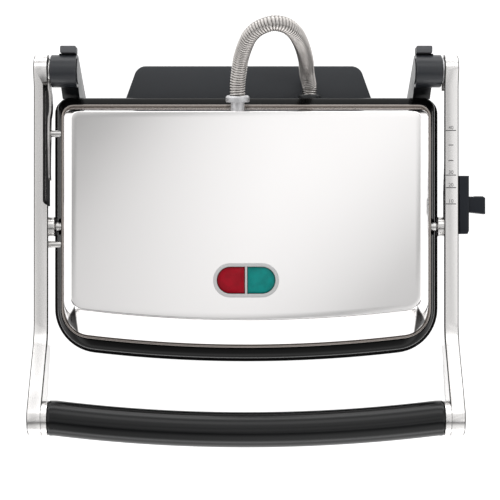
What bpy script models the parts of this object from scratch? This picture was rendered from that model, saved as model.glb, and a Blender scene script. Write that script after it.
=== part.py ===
"""Sandwich maker: a base, two arms with a bowed handle, and a lid that floats between the arms.

Lengths are in metres. The press stands on z = 0 with its front towards -Y. X = 0 is its middle plane,
and the frame empty at the end moves the whole model so that its box is centred over the origin.
"""
import math
from collections import namedtuple

import bmesh
import bpy
from mathutils import Vector

# Fits shared by every piece
seat_gap = 0.0003
run_gap = 0.0006
overrun = 0.003
smallest_corner = 0.0015
quarter = math.pi / 2
half_share = 0.5

# Outline of the base rim, seen from above
rim_half_width = 0.1590
rim_rear = 0.1264
rim_front = 0.0926
bow_radius = 1.1
rim_front_corner = 0.037
rim_rear_corner = 0.013
bow_steps = 4
front_corner_steps = 5
rear_corner_steps = 3

# Feet and bottom cover
foot_height = 0.0054
foot_radius = 0.0095
foot_taper = 0.0015
foot_side_inset = 0.0410
foot_rear_inset = 0.0314
foot_front_inset = 0.0326
cover_plate_thickness = 0.003
cover_plate_tuck = 0.012
vent_length = 0.060
vent_width = 0.005
vent_pitch = 0.011
vents_per_side = 5
vent_place_share = 0.39
vent_first_y = -0.010

# Base housing, as insets from the rim outline at each height
housing_height = 0.049
foot_tuck = 0.011
toe_tuck = 0.0085
toe_rise = 0.003
belly_tuck = 0.005
belly_rise = 0.021
neck_tuck = 0.0036
neck_drop = 0.012
lip_drop = 0.0060
lip_round = 0.0014
housing_wall = 0.003
rim_width = 0.0070
ledge_width = 0.005
ledge_drop = 0.0080
ledge_thickness = 0.0025

# Lower plate
plate_side_gap = 0.0005
plate_bead_rise = 0.0012
plate_bead_width = 0.0025
plate_chamfer = 0.0008
plate_channel_depth = 0.0032
plate_channel_width = 0.0062
plate_surface_drop = 0.0019

# Lid frame and cover
lid_gap = 0.0035
lid_side_setback = 0.0040
lid_rear_setback = 0.0014
lid_front_setback = 0.0036
lid_frame_height = 0.0165
lid_frame_toe = 0.0020
lid_frame_toe_rise = 0.0025
lid_frame_wall_rise = 0.0090
lid_frame_shoulder = 0.0020
lid_frame_shoulder_rise = 0.0120
frame_lap = 0.0005
cover_side_step = 0.0045
cover_rear_step = 0.0065
cover_front_step = 0.0094
cover_front_corner = 0.024
cover_rear_corner = 0.010
cover_height = 0.0257
cover_sheet = 0.0012
cover_flange = 0.0038
cover_bead_height = 0.0020
cover_bead_depth = 0.0014
cover_slope_start = 0.0045
cover_slope_tuck = 0.0025
cover_shoulder_drop = 0.0085
cover_shoulder_side_step = 0.0037
cover_top_side_step = 0.0122
cover_top_rear_step = 0.0080
cover_top_front_step = 0.0244
cover_top_front_corner = 0.011
cover_top_rear_corner = 0.006
cover_edge_round = 0.0022

# Upper plate and its ribs
grill_inset = 0.012
grill_drop = 0.0012
grill_height = 0.0097
grill_chamfer = 0.0012
rib_pitch = 0.0115
rib_height = 0.0022
rib_base_width = 0.0058
rib_tip_width = 0.0030
rib_margin = 0.012

# Indicator on the lid
indicator_y = -0.0241
indicator_length = 0.0528
indicator_width = 0.0275
indicator_flange = 0.0014
indicator_edge = 0.0007
indicator_face = 0.0029
indicator_wall = 0.0011
indicator_depth = 0.0062
indicator_divider = 0.0018
indicator_steps = 8
lens_drop = 0.0004
lamp_holder_length = 0.034
lamp_holder_width = 0.020
lamp_holder_height = 0.010

# Hinge: posts, barrels, axles and rear feet
hinge_y = 0.1463
hinge_rise = 0.0165
barrel_radius = 0.0133
barrel_length = 0.0215
barrel_edge = 0.0012
neck_width = 0.0145
neck_shrink = 0.0006
neck_base_rise = 0.006
neck_base_depth = 0.012
neck_front_angle = math.radians(205)
neck_rear_angle = math.radians(14)
neck_arc_steps = 12
neck_pad = 0.0140
neck_pad_rise = 0.0060
neck_pad_height = 0.0140
storage_foot_depth = 0.0060
storage_foot_inset = 0.0007
storage_foot_round = 0.0010
axle_radius = 0.0040
axle_head_radius = 0.0070
axle_head_thickness = 0.0020
axle_depth = 0.0150

# Arms
arm_side_gap = 0.0019
arm_barrel_gap = 0.0013
arm_width = 0.0117
arm_half_height = 0.0095
arm_hub_radius = 0.0134
arm_edge = 0.0012
arm_draw_in = 0.0013
arm_kink_y = -0.0709
arm_kink_length = 0.0080
arm_end_steps = 12

# Handle
handle_y = -0.1325
handle_bow = 0.0092
handle_z = 0.1160
handle_radius = 0.0139
handle_stub = 0.0053
handle_straight = 0.0050
handle_rod_radius = 0.0050
handle_rod_depth = 0.0070
handle_steps = 12

# Pivot of the lid
pivot_y = 0.0191
pivot_boss_radius = 0.0079
pivot_boss_length = 0.0050
pivot_boss_edge = 0.0006
pivot_pin_radius = 0.0032
pivot_pin_depth = 0.0075
pin_seat_depth = 0.0070

# Tilt stop and lever, on the left
tilt_degrees = 12.0
stop_pin_y = 0.0046
stop_pin_radius = 0.0027
stop_pin_depth = 0.0040
lever_pin_y = 0.0951
lever_pin_radius = 0.0028
lever_recess_depth = 0.0042
lever_floor_drop = 0.0069
lever_hub_floor_drop = 0.0094
lever_floor_slope = 0.0035
lever_recess_front_y = 0.0364
lever_hub_radius = 0.0088
lever_sheet = 0.0020
lever_hub_thickness = 0.0030
lever_half_height = 0.0062
lever_tip_half_height = 0.0030
lever_tip_y = 0.0597
lever_hook_drop = 0.0030
lever_slot_play = 0.0008
lever_slot_travel = 0.0040

# Height slider, on the right
slider_front_y = 0.0130
slider_length = 0.0474
slider_thickness = 0.0080
slider_height = 0.0170
slider_edge = 0.0010
slider_gap = 0.0006
slider_travel = 0.0580
knob_front_y = 0.0310
knob_width = 0.0126
knob_length = 0.0136
knob_height = 0.0130
knob_lean = 0.0030
stem_length = 0.0080
stem_height = 0.0040
bar_sheet = 0.0042
bar_height = 0.0110
bar_length = 0.0440
bar_front_y = 0.0270
bar_notches = 5
bar_notch_depth = 0.0012
channel_depth = 0.0054
channel_height = 0.0124
cam_radius = 0.0105
cam_flat_drop = 0.0006
cam_flats = 5
cam_thickness = 0.0044

# Conduit and its ends: points of the centre line from the lid's nut to the base's socket
conduit_route = [
    (-0.0057, 0.1436, 0.0960), (-0.0044, 0.1518, 0.1005), (-0.0027, 0.1574, 0.1060),
    (-0.0006, 0.1620, 0.1130), (0.0027, 0.1675, 0.1210), (0.0094, 0.1729, 0.1275),
    (0.0202, 0.1763, 0.1310), (0.0307, 0.1754, 0.1275), (0.0382, 0.1716, 0.1175),
    (0.0425, 0.1676, 0.1040), (0.0454, 0.1637, 0.0910), (0.0477, 0.1594, 0.0780),
    (0.0494, 0.1546, 0.0660), (0.0506, 0.1475, 0.0515),
]
conduit_radius = 0.0064
conduit_valley = 0.0057
conduit_bore = 0.0044
conduit_pitch = 0.00295
nut_x = -0.0069
nut_rise = 0.0115
nut_standoff = 0.0032
nut_flange_radius = 0.0097
nut_flange_thickness = 0.0030
nut_length = 0.0080
nut_neck_radius = 0.0078
nut_spigot_radius = 0.0056
nut_spigot_depth = 0.0045
nut_bore_depth = 0.0050
socket_x = 0.0531
socket_drop = 0.0160
socket_radius = 0.0095
socket_neck_radius = 0.0082
socket_length = 0.0095
socket_flange = 0.0040
socket_depth = 0.0060

# Cord wrap behind the base and the inlet of the mains cord
wrap_x = 0.0019
wrap_front_half = 0.1074
wrap_rear_half = 0.0977
wrap_rear_y = 0.1568
wrap_corner = 0.0100
wrap_corner_steps = 4
wrap_drop = 0.0295
wrap_thickness = 0.0045
wrap_hub_half = 0.0700
wrap_hub_depth = 0.0120
wrap_hub_height = 0.0140
gland_side_gap = 0.0169
gland_rise = 0.0070
gland_radius = 0.0050
gland_flange_radius = 0.0066
gland_flange = 0.0030
gland_depth = 0.0080
gland_bore = 0.0034

# Heating and wiring pieces inside
element_radius = 0.0033
element_side_gap = 0.0150
element_rear_gap = 0.0230
element_front_gap = 0.0320
element_corner = 0.0250
element_corner_steps = 4
element_lead = 0.0200
shield_sheet = 0.0008
shield_side_gap = 0.0280
shield_overhang = 0.0125
shield_lip = 0.0040
thermostat_radius = 0.0090
thermostat_height = 0.0060
terminal_length = 0.0450
terminal_width = 0.0180
terminal_height = 0.0120
terminal_rear_gap = 0.0384
terminal_post = 0.0080

# Heights and places that follow from the sizes above
cover_plate_base = foot_height + seat_gap
cover_plate_top = cover_plate_base + cover_plate_thickness
housing_base = cover_plate_top + seat_gap
rim_top = housing_base + housing_height
ledge_z = rim_top - ledge_drop
lid_base = rim_top + lid_gap
frame_top = lid_base + lid_frame_height
cover_base = frame_top + seat_gap
cover_top = cover_base + cover_height
hinge_z = rim_top + hinge_rise
pivot_z = hinge_z
grill_base = lid_base - grill_drop
grill_top = grill_base + grill_height
arm_inner_x = rim_half_width + arm_side_gap
arm_outer_x = arm_inner_x + arm_width
barrel_outer_x = arm_inner_x - arm_barrel_gap
post_inner_x = barrel_outer_x - barrel_length
lever_plane_x = barrel_outer_x + seat_gap
nut_tilt = math.atan2(
    cover_top_rear_step - cover_slope_tuck - cover_edge_round,
    cover_height - cover_slope_start - cover_edge_round,
)

Plan = namedtuple("Plan", "half_width rear front bow front_corner rear_corner")


def inset(plan, side, rear=None, front=None):
    """The plan outline drawn in, by one step all round or by its own step at the rear and front."""
    rear = side if rear is None else rear
    front = side if front is None else front
    front_corner = max(plan.front_corner - front, smallest_corner)
    rear_corner = max(plan.rear_corner - side, smallest_corner)
    return Plan(plan.half_width - side, plan.rear - rear, plan.front - front,
                plan.bow - front, front_corner, rear_corner)


rim_plan = Plan(rim_half_width, rim_rear, rim_front, bow_radius, rim_front_corner, rim_rear_corner)
lid_plan = inset(rim_plan, lid_side_setback, lid_rear_setback, lid_front_setback)
grill_plan = inset(lid_plan, grill_inset)
cover_plan = inset(lid_plan, cover_side_step, cover_rear_step, cover_front_step)._replace(
    front_corner=cover_front_corner, rear_corner=cover_rear_corner)
cover_top_plan = inset(cover_plan, cover_top_side_step, cover_top_rear_step, cover_top_front_step)._replace(
    front_corner=cover_top_front_corner, rear_corner=cover_top_rear_corner)

# Pins in the sides of the lid frame: name, side, place and radius
pin_inner_x = lid_plan.half_width - pin_seat_depth
lid_pins = [
    ("pivot_pin_right", 1, pivot_y, pivot_pin_radius),
    ("pivot_pin_left", -1, pivot_y, pivot_pin_radius),
    ("tilt_stop_pin", -1, stop_pin_y, stop_pin_radius),
    ("lever_pin", -1, lever_pin_y, lever_pin_radius),
]


# Feet, elements and shields, placed from the outlines above
foot_side_x = rim_half_width - foot_side_inset
gland_x = wrap_x - wrap_hub_half - gland_side_gap
foot_rear_y = rim_rear - foot_rear_inset
foot_front_y = foot_front_inset - rim_front
vent_x = rim_half_width * vent_place_share
shield_half_width = grill_plan.half_width - shield_side_gap
element_half_width = shield_half_width - element_side_gap
element_rear_y = grill_plan.rear - element_rear_gap
element_front_y = element_front_gap - grill_plan.front
shield_depth = element_rear_y - element_front_y + 2 * shield_overhang
thermostat_y = (element_rear_y + element_front_y) / 2
terminal_y = rim_rear - terminal_rear_gap - terminal_width


# Collections, materials and objects

def clear_scene():
    for item in list(bpy.data.objects):
        bpy.data.objects.remove(item, do_unlink=True)
    for item in list(bpy.data.collections):
        bpy.data.collections.remove(item)


def new_collection(name):
    made = bpy.data.collections.new(name)
    bpy.context.scene.collection.children.link(made)
    return made


def new_material(name, colour, roughness, metallic=0.0):
    made = bpy.data.materials.new(name)
    made.use_nodes = True
    shader = made.node_tree.nodes["Principled BSDF"]
    shader.inputs["Base Color"].default_value = (*colour, 1.0)
    shader.inputs["Roughness"].default_value = roughness
    shader.inputs["Metallic"].default_value = metallic
    made.diffuse_color = (*colour, 1.0)
    return made


def add_object(name, data):
    made = bpy.data.objects.new(name, data)
    bpy.data.collections["sandwich_maker"].objects.link(made)
    return made


def add_mesh(name, bm):
    """An object from a bmesh, shaded smooth with its sharp edges kept."""
    bmesh.ops.recalc_face_normals(bm, faces=bm.faces)
    mesh = bpy.data.meshes.new(name)
    bm.to_mesh(mesh)
    bm.free()
    mesh.shade_smooth()
    mesh.set_sharp_from_angle(angle=math.radians(35))
    return add_object(name, mesh)


def make_tool(item):
    """Move an object to the cutters, out of the render."""
    bpy.data.collections["sandwich_maker"].objects.unlink(item)
    bpy.data.collections["cutters"].objects.link(item)
    item.hide_render = True
    item.display_type = "WIRE"


def combine(body, tool, operation):
    modifier = body.modifiers.new(tool.name, "BOOLEAN")
    modifier.operation = operation
    modifier.object = tool
    make_tool(tool)


def cut(body, *tools):
    for tool in tools:
        combine(body, tool, "DIFFERENCE")


def join(body, *tools):
    for tool in tools:
        combine(body, tool, "UNION")


def round_edges(body, width, segments=2):
    modifier = body.modifiers.new("rounded_edges", "BEVEL")
    modifier.width = width
    modifier.segments = segments
    modifier.limit_method = "ANGLE"
    modifier.angle_limit = math.radians(50)


# Outlines

def arc(centre_a, centre_b, radius, start, end, steps):
    """Points on an arc, both ends included."""
    angles = [start + (end - start) * i / steps for i in range(steps + 1)]
    return [(centre_a + radius * math.cos(angle), centre_b + radius * math.sin(angle)) for angle in angles]


def plan_loop(plan, height):
    """A plan outline at one height: bowed front, round corners, straight sides and rear."""
    bow_centre = plan.bow - plan.front
    corner_x = plan.half_width - plan.front_corner
    corner_y = bow_centre - math.sqrt((plan.bow - plan.front_corner) ** 2 - corner_x ** 2)
    corner_start = math.atan2(corner_y - bow_centre, corner_x)
    rear_x = plan.half_width - plan.rear_corner
    rear_y = plan.rear - plan.rear_corner
    right = arc(0, bow_centre, plan.bow, -quarter, corner_start, bow_steps)
    right += arc(corner_x, corner_y, plan.front_corner, corner_start, 0, front_corner_steps)[1:]
    right += arc(rear_x, rear_y, plan.rear_corner, 0, quarter, rear_corner_steps)
    left = [(-x, y) for x, y in reversed(right[1:])]
    return [Vector((x, y, height)) for x, y in right + left]


def capsule(length, width, steps):
    """A slot outline with round ends, along X round the origin."""
    reach = (length - width) / 2
    right = arc(reach, 0, width / 2, -quarter, quarter, steps)
    left = arc(-reach, 0, width / 2, quarter, 3 * quarter, steps)
    return right + left


def bar_outline(path, halves, steps):
    """Outline of a flat bar along a path, with a half height at each point and round ends."""
    points = [Vector(point) for point in path]
    upper = []
    lower = []
    for i, point in enumerate(points):
        before = (point - points[max(i - 1, 0)]).normalized()
        after = (points[min(i + 1, len(points) - 1)] - point).normalized()
        along = (before + after).normalized()
        normal = Vector((-along.y, along.x))
        upper.append(point + normal * halves[i])
        lower.append(point - normal * halves[i])
    outline = []
    for end, side in ((0, upper), (-1, lower)):
        spoke = side[end] - points[end]
        start = math.atan2(spoke.y, spoke.x)
        outline += arc(*points[end], halves[end], start, start + 2 * quarter, steps)
        inner = lower[1:-1] if end == 0 else upper[-2:0:-1]
        outline += [tuple(point) for point in inner]
    return outline


# Bodies

def lofted(name, loops, ring=False):
    """A body through loops of equally many points. A ring closes on itself, else both ends are capped."""
    bm = bmesh.new()
    rows = [[bm.verts.new(point) for point in loop] for loop in loops]
    next_rows = rows[1:] + rows[:1] if ring else rows[1:]
    for near, far in zip(rows, next_rows):
        for i in range(len(near)):
            j = (i + 1) % len(near)
            bm.faces.new((near[i], near[j], far[j], far[i]))
    if not ring:
        bm.faces.new(rows[0])
        bm.faces.new(rows[-1])
    return add_mesh(name, bm)


def rod(name, radius, start, end, segments=24, end_radius=None):
    """A cylinder or cone between two points."""
    start = Vector(start)
    end = Vector(end)
    bm = bmesh.new()
    bmesh.ops.create_cone(bm, cap_ends=True, segments=segments, radius1=radius,
                          radius2=radius if end_radius is None else end_radius, depth=(end - start).length)
    body = add_mesh(name, bm)
    body.location = (start + end) / 2
    body.rotation_euler = (end - start).to_track_quat("Z", "Y").to_euler()
    return body


def box(name, low, high):
    """A block between two corners."""
    low = Vector(low)
    high = Vector(high)
    bm = bmesh.new()
    bmesh.ops.create_cube(bm, size=1)
    bmesh.ops.scale(bm, vec=high - low, verts=bm.verts)
    body = add_mesh(name, bm)
    body.location = (low + high) / 2
    return body


def meshed(curve):
    """Replace a curve object by its mesh, with the caps welded on."""
    bpy.context.view_layer.update()
    evaluated = curve.evaluated_get(bpy.context.evaluated_depsgraph_get())
    mesh = bpy.data.meshes.new_from_object(evaluated)
    name = curve.name
    matrix = curve.matrix_world.copy()
    bpy.data.objects.remove(curve, do_unlink=True)
    bm = bmesh.new()
    bm.from_mesh(mesh)
    bpy.data.meshes.remove(mesh)
    bmesh.ops.remove_doubles(bm, verts=bm.verts, dist=0.00001)
    body = add_mesh(name, bm)
    body.matrix_world = matrix
    return body


def outline_solid(name, outlines, thickness):
    """A flat outline in the XY plane, holes included, with its thickness along Z."""
    curve = bpy.data.curves.new(name, "CURVE")
    curve.dimensions = "2D"
    curve.fill_mode = "BOTH"
    curve.extrude = thickness / 2
    for outline in outlines:
        spline = curve.splines.new("POLY")
        spline.points.add(len(outline) - 1)
        for point, (x, y) in zip(spline.points, outline):
            point.co = (x, y, 0, 1)
        spline.use_cyclic_u = True
    return meshed(add_object(name, curve))


def side_solid(name, outlines, near_x, far_x):
    """An outline in the YZ plane, between two places along X."""
    body = outline_solid(name, outlines, abs(far_x - near_x))
    body.location.x = (near_x + far_x) / 2
    body.rotation_euler = (quarter, 0, quarter)
    return body


def flat_solid(name, outlines, low_z, high_z):
    """An outline in the XY plane, between two heights."""
    body = outline_solid(name, outlines, high_z - low_z)
    body.location.z = (low_z + high_z) / 2
    return body


def tube(name, points, radii, resolution):
    """A round bar along points, with a radius at each point."""
    curve = bpy.data.curves.new(name, "CURVE")
    curve.dimensions = "3D"
    curve.bevel_depth = 1
    curve.bevel_resolution = resolution
    curve.use_fill_caps = True
    spline = curve.splines.new("POLY")
    spline.points.add(len(points) - 1)
    for point, place, radius in zip(spline.points, points, radii):
        point.co = (*place, 1)
        point.radius = radius
    return meshed(add_object(name, curve))


def turned(name, profile, segments):
    """A body turned about Z from a closed profile of (radius, height) points."""
    bm = bmesh.new()
    verts = [bm.verts.new((radius, 0, height)) for radius, height in profile]
    for i in range(len(verts)):
        bm.edges.new((verts[i], verts[(i + 1) % len(verts)]))
    mesh = bpy.data.meshes.new(name)
    bm.to_mesh(mesh)
    bm.free()
    body = add_object(name, mesh)
    screw = body.modifiers.new("turn", "SCREW")
    screw.steps = segments
    screw.render_steps = segments
    screw.use_merge_vertices = True
    screw.merge_threshold = 0.00001
    screw.use_smooth_shade = True
    return body


def finish(body, material, parent):
    """Give a piece its material and hang it, with its cutters, on the parent's joint axis."""
    body.data.materials.clear()
    body.data.materials.append(material)
    tools = [modifier.object for modifier in body.modifiers if modifier.type == "BOOLEAN"]
    for item in [body] + tools:
        item.parent = parent
        item.location = item.location - parent_place(parent)
    return body


def parent_place(empty):
    """Where an empty stands in the press, added up over its parents below the frame."""
    place = Vector((0, 0, 0))
    while empty.parent is not None:
        place += empty.location
        empty = empty.parent
    return place


def axis_empty(name, parent, place):
    empty = add_object(name, None)
    empty.empty_display_size = arm_half_height
    empty.parent = parent
    empty.location = Vector(place) - parent_place(parent)
    return empty


# Base pieces

def housing_side():
    """Outer side of the base housing as (inset, height), bottom to top."""
    return [
        (foot_tuck, housing_base),
        (toe_tuck, housing_base + toe_rise),
        (belly_tuck, housing_base + belly_rise),
        (neck_tuck, rim_top - neck_drop),
        (0, rim_top - lip_drop),
        (0, rim_top - lip_round),
        (lip_round, rim_top),
    ]


def housing_rear_at(height):
    """Y of the housing's rear wall at a height."""
    side = housing_side()
    for (low_inset, low), (high_inset, high) in zip(side, side[1:]):
        if height <= high:
            share = (height - low) / (high - low)
            return rim_rear - (low_inset + (high_inset - low_inset) * share)
    return rim_rear


def rear_wall_line(low, high):
    """Points (y, z) that follow the housing's rear wall at a seat's gap, bottom to top."""
    levels = [low] + [height for _, height in housing_side() if low < height < high] + [high]
    return [(housing_rear_at(height) + seat_gap, height) for height in levels]


def base_housing(material, frame):
    ledge_inner = rim_width + ledge_width
    profile = housing_side() + [
        (rim_width, rim_top),
        (rim_width, ledge_z),
        (ledge_inner, ledge_z),
        (ledge_inner, ledge_z - ledge_thickness),
        (neck_tuck + housing_wall, rim_top - neck_drop - ledge_thickness),
        (belly_tuck + housing_wall, housing_base + belly_rise),
        (toe_tuck + housing_wall, housing_base + toe_rise),
        (foot_tuck + housing_wall, housing_base),
    ]
    loops = [plan_loop(inset(rim_plan, step), height) for step, height in profile]
    body = lofted("base_housing", loops, ring=True)
    near = rim_rear - foot_tuck - housing_wall - overrun
    far = rim_rear + overrun
    socket_z = rim_top - socket_drop
    gland_z = housing_base + gland_rise
    cut(body,
        rod("socket_hole", socket_neck_radius + seat_gap, (socket_x, near, socket_z), (socket_x, far, socket_z)),
        rod("gland_hole", gland_radius + seat_gap, (gland_x, near, gland_z), (gland_x, far, gland_z), 16))
    finish(body, material, frame)


def base_bottom_cover(material, frame):
    plan = inset(rim_plan, cover_plate_tuck)
    body = lofted("base_bottom_cover", [plan_loop(plan, cover_plate_base), plan_loop(plan, cover_plate_top)])
    for side in (-1, 1):
        for row in range(vents_per_side):
            y = vent_first_y + row * vent_pitch
            low = (side * vent_x - vent_length / 2, y, cover_plate_base - overrun)
            high = (side * vent_x + vent_length / 2, y + vent_width, cover_plate_top + overrun)
            cut(body, box("vent_slot", low, high))
    finish(body, material, frame)


def rubber_feet(material, frame):
    for name, side, y in (("front_left", -1, foot_front_y), ("front_right", 1, foot_front_y),
                          ("rear_left", -1, foot_rear_y), ("rear_right", 1, foot_rear_y)):
        x = side * foot_side_x
        body = rod("foot_" + name, foot_radius - foot_taper, (x, y, 0), (x, y, foot_height), 20, foot_radius)
        finish(body, material, frame)


def lower_plate(material, frame):
    edge = rim_width + plate_side_gap
    bead = rim_top + plate_bead_rise
    surface = bead - plate_surface_drop
    channel = bead - plate_channel_depth
    inner = edge + plate_chamfer + plate_bead_width
    profile = [
        (edge + plate_chamfer, ledge_z + seat_gap),
        (edge, ledge_z + seat_gap + plate_chamfer),
        (edge, bead - plate_chamfer),
        (edge + plate_chamfer, bead),
        (inner, bead),
        (inner + plate_chamfer, channel),
        (inner + plate_channel_width, channel),
        (inner + plate_channel_width + plate_chamfer, surface),
    ]
    loops = [plan_loop(inset(rim_plan, step), height) for step, height in profile]
    finish(lofted("lower_plate", loops), material, frame)


def element_path(height):
    """Centre line of a heating element: a loop open at the rear, its leads running inwards."""
    corners = [
        (-element_half_width, element_rear_y, -1, 1, quarter),
        (-element_half_width, element_front_y, -1, -1, 2 * quarter),
        (element_half_width, element_front_y, 1, -1, 3 * quarter),
        (element_half_width, element_rear_y, 1, 1, 4 * quarter),
    ]
    points = [(-element_lead, element_rear_y)]
    for x, y, side, fore, start in corners:
        centre_x = x - side * element_corner
        centre_y = y - fore * element_corner
        points += arc(centre_x, centre_y, element_corner, start, start + quarter, element_corner_steps)
    points.append((element_lead, element_rear_y))
    return [(x, y, height) for x, y in points]


def heating_element(name, height, material, parent):
    points = element_path(height)
    finish(tube(name, points, [element_radius] * len(points), 2), material, parent)


def heat_shield(name, face, side, material, parent):
    """A sheet over one side of the element, its two long edges folded towards the element."""
    top = face + side * shield_sheet
    lip = face - side * shield_lip
    inner = shield_half_width - shield_sheet
    outline = [(-shield_half_width, lip), (-shield_half_width, top), (shield_half_width, top),
               (shield_half_width, lip), (inner, lip), (inner, face), (-inner, face), (-inner, lip)]
    body = outline_solid(name, [outline], shield_depth)
    body.rotation_euler.x = quarter
    body.location.y = (element_rear_y + element_front_y) / 2
    finish(body, material, parent)


def terminal_block(material, frame):
    low = cover_plate_top + seat_gap
    body = box("terminal_block", (-terminal_length / 2, terminal_y, low),
               (terminal_length / 2, terminal_y + terminal_width, low + terminal_height))
    first_x = terminal_post - terminal_length / 2
    pitch = terminal_length / 2 - terminal_post
    for i in range(3):
        x = first_x + i * pitch
        y = terminal_y + terminal_width / 2
        join(body, rod("terminal_post", terminal_post / 2, (x, y, low + terminal_height / 2),
                       (x, y, low + terminal_height + terminal_post / 2), 12))
    finish(body, material, frame)


def thermostat(name, face, side, material, parent):
    """A round thermostat can that stands on a plate's back, upwards or downwards."""
    start = (0, thermostat_y, face + side * seat_gap)
    end = (0, thermostat_y, face + side * (seat_gap + thermostat_height))
    finish(rod(name, thermostat_radius, start, end, 20), material, parent)


def hinge_post(name, side, material, frame):
    """A neck on the housing's rear wall, leaning back, with the hinge barrel across its top."""
    low = housing_base + neck_base_rise
    front = rear_wall_line(low, rim_top)
    head = arc(hinge_y, hinge_z, barrel_radius - neck_shrink, neck_front_angle, neck_rear_angle, neck_arc_steps)
    pad_y = hinge_y + neck_pad
    pad_top = hinge_z + neck_pad_rise
    pad = [(pad_y, pad_top), (pad_y, pad_top - neck_pad_height)]
    foot = [(front[0][0] + neck_base_depth, low)]
    outline = front + head + pad + foot
    neck_outer_x = post_inner_x + neck_width
    body = side_solid(name, [outline], side * post_inner_x, side * neck_outer_x)
    barrel = rod(name + "_barrel", barrel_radius, (side * (post_inner_x - neck_shrink), hinge_y, hinge_z),
                 (side * barrel_outer_x, hinge_y, hinge_z), 32)
    round_edges(barrel, barrel_edge)
    join(body, barrel)
    cut(body, rod(name + "_bore", axle_radius + seat_gap,
                  (side * (barrel_outer_x - axle_depth), hinge_y, hinge_z),
                  (side * (barrel_outer_x + overrun), hinge_y, hinge_z)))
    finish(body, material, frame)


def storage_foot(name, side, material, frame):
    near_y = hinge_y + neck_pad + seat_gap
    pad_top = hinge_z + neck_pad_rise
    low_x = post_inner_x + storage_foot_inset
    high_x = post_inner_x + neck_width - storage_foot_inset
    xs = sorted((side * low_x, side * high_x))
    body = box(name, (xs[0], near_y, pad_top - neck_pad_height), (xs[1], near_y + storage_foot_depth, pad_top))
    round_edges(body, storage_foot_round, 1)
    finish(body, material, frame)


def cord_wrap(material, frame):
    """Flat tab with sloping sides behind the base, on a hub that the cord winds round."""
    plate_low = rim_top - wrap_drop - wrap_thickness
    plate_high = rim_top - wrap_drop
    front_y = housing_rear_at(plate_high) + seat_gap
    lean = math.atan2(wrap_rear_y - front_y, wrap_front_half - wrap_rear_half)
    corner_x = wrap_rear_half - wrap_corner
    corner_y = wrap_rear_y - wrap_corner
    right = [(wrap_front_half, front_y)]
    right += arc(corner_x, corner_y, wrap_corner, quarter - lean, quarter, wrap_corner_steps)
    left = [(-x, y) for x, y in reversed(right)]
    outline = [(wrap_x + x, y) for x, y in right + left]
    body = flat_solid("cord_wrap", [outline], plate_low, plate_high)
    hub_low = plate_low - wrap_hub_height
    hub_high = plate_low + wrap_thickness / 2
    hub_front = rear_wall_line(hub_low, hub_high)
    hub_rear = hub_front[-1][0] + wrap_hub_depth
    hub = side_solid("wrap_hub", [hub_front + [(hub_rear, hub_high), (hub_rear, hub_low)]],
                     wrap_x - wrap_hub_half, wrap_x + wrap_hub_half)
    join(body, hub)
    finish(body, material, frame)


def cord_gland(material, frame):
    """Bush in the housing's rear wall that the mains cord would pass through."""
    height = housing_base + gland_rise
    seat = housing_rear_at(height + gland_flange_radius) + seat_gap
    profile = [
        (gland_radius, gland_flange),
        (gland_flange_radius, 0),
        (gland_flange_radius, -gland_flange),
        (gland_radius, -gland_flange),
        (gland_radius, -gland_flange - gland_depth),
        (gland_bore, -gland_flange - gland_depth),
        (gland_bore, gland_flange),
    ]
    body = turned("cord_gland", profile, 16)
    body.location = (gland_x, seat + gland_flange, height)
    body.rotation_euler.x = -quarter
    finish(body, material, frame)


def conduit_socket(material, frame):
    """Collar in the housing's rear wall that takes the conduit's lower end."""
    height = rim_top - socket_drop
    profile = [
        (socket_radius, socket_flange),
        (socket_radius, 0),
        (socket_neck_radius, 0),
        (socket_neck_radius, -socket_length),
        (conduit_bore, -socket_length),
        (conduit_bore, socket_flange - socket_depth),
        (conduit_radius + seat_gap, socket_flange - socket_depth),
        (conduit_radius + seat_gap, socket_flange),
    ]
    body = turned("conduit_socket", profile, 24)
    body.location = (socket_x, housing_rear_at(height + socket_radius) + seat_gap, height)
    body.rotation_euler.x = -quarter
    finish(body, material, frame)


# Arm pieces

def arm_path():
    """Centre line (y, z) of an arm's side view, from the hinge to the handle."""
    lean = math.atan2(handle_z - hinge_z, arm_kink_y - handle_y)
    bend_y = arm_kink_y - arm_kink_length * math.cos(lean)
    bend_z = hinge_z + arm_kink_length * math.sin(lean) / 2
    return [(hinge_y, hinge_z), (hinge_y - arm_hub_radius, hinge_z), (arm_kink_y + arm_kink_length, hinge_z),
            (bend_y, bend_z), (handle_y, handle_z)]


def circle(y, z, radius, steps=20):
    return arc(y, z, radius, 0, 4 * quarter, steps)[:-1]


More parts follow.
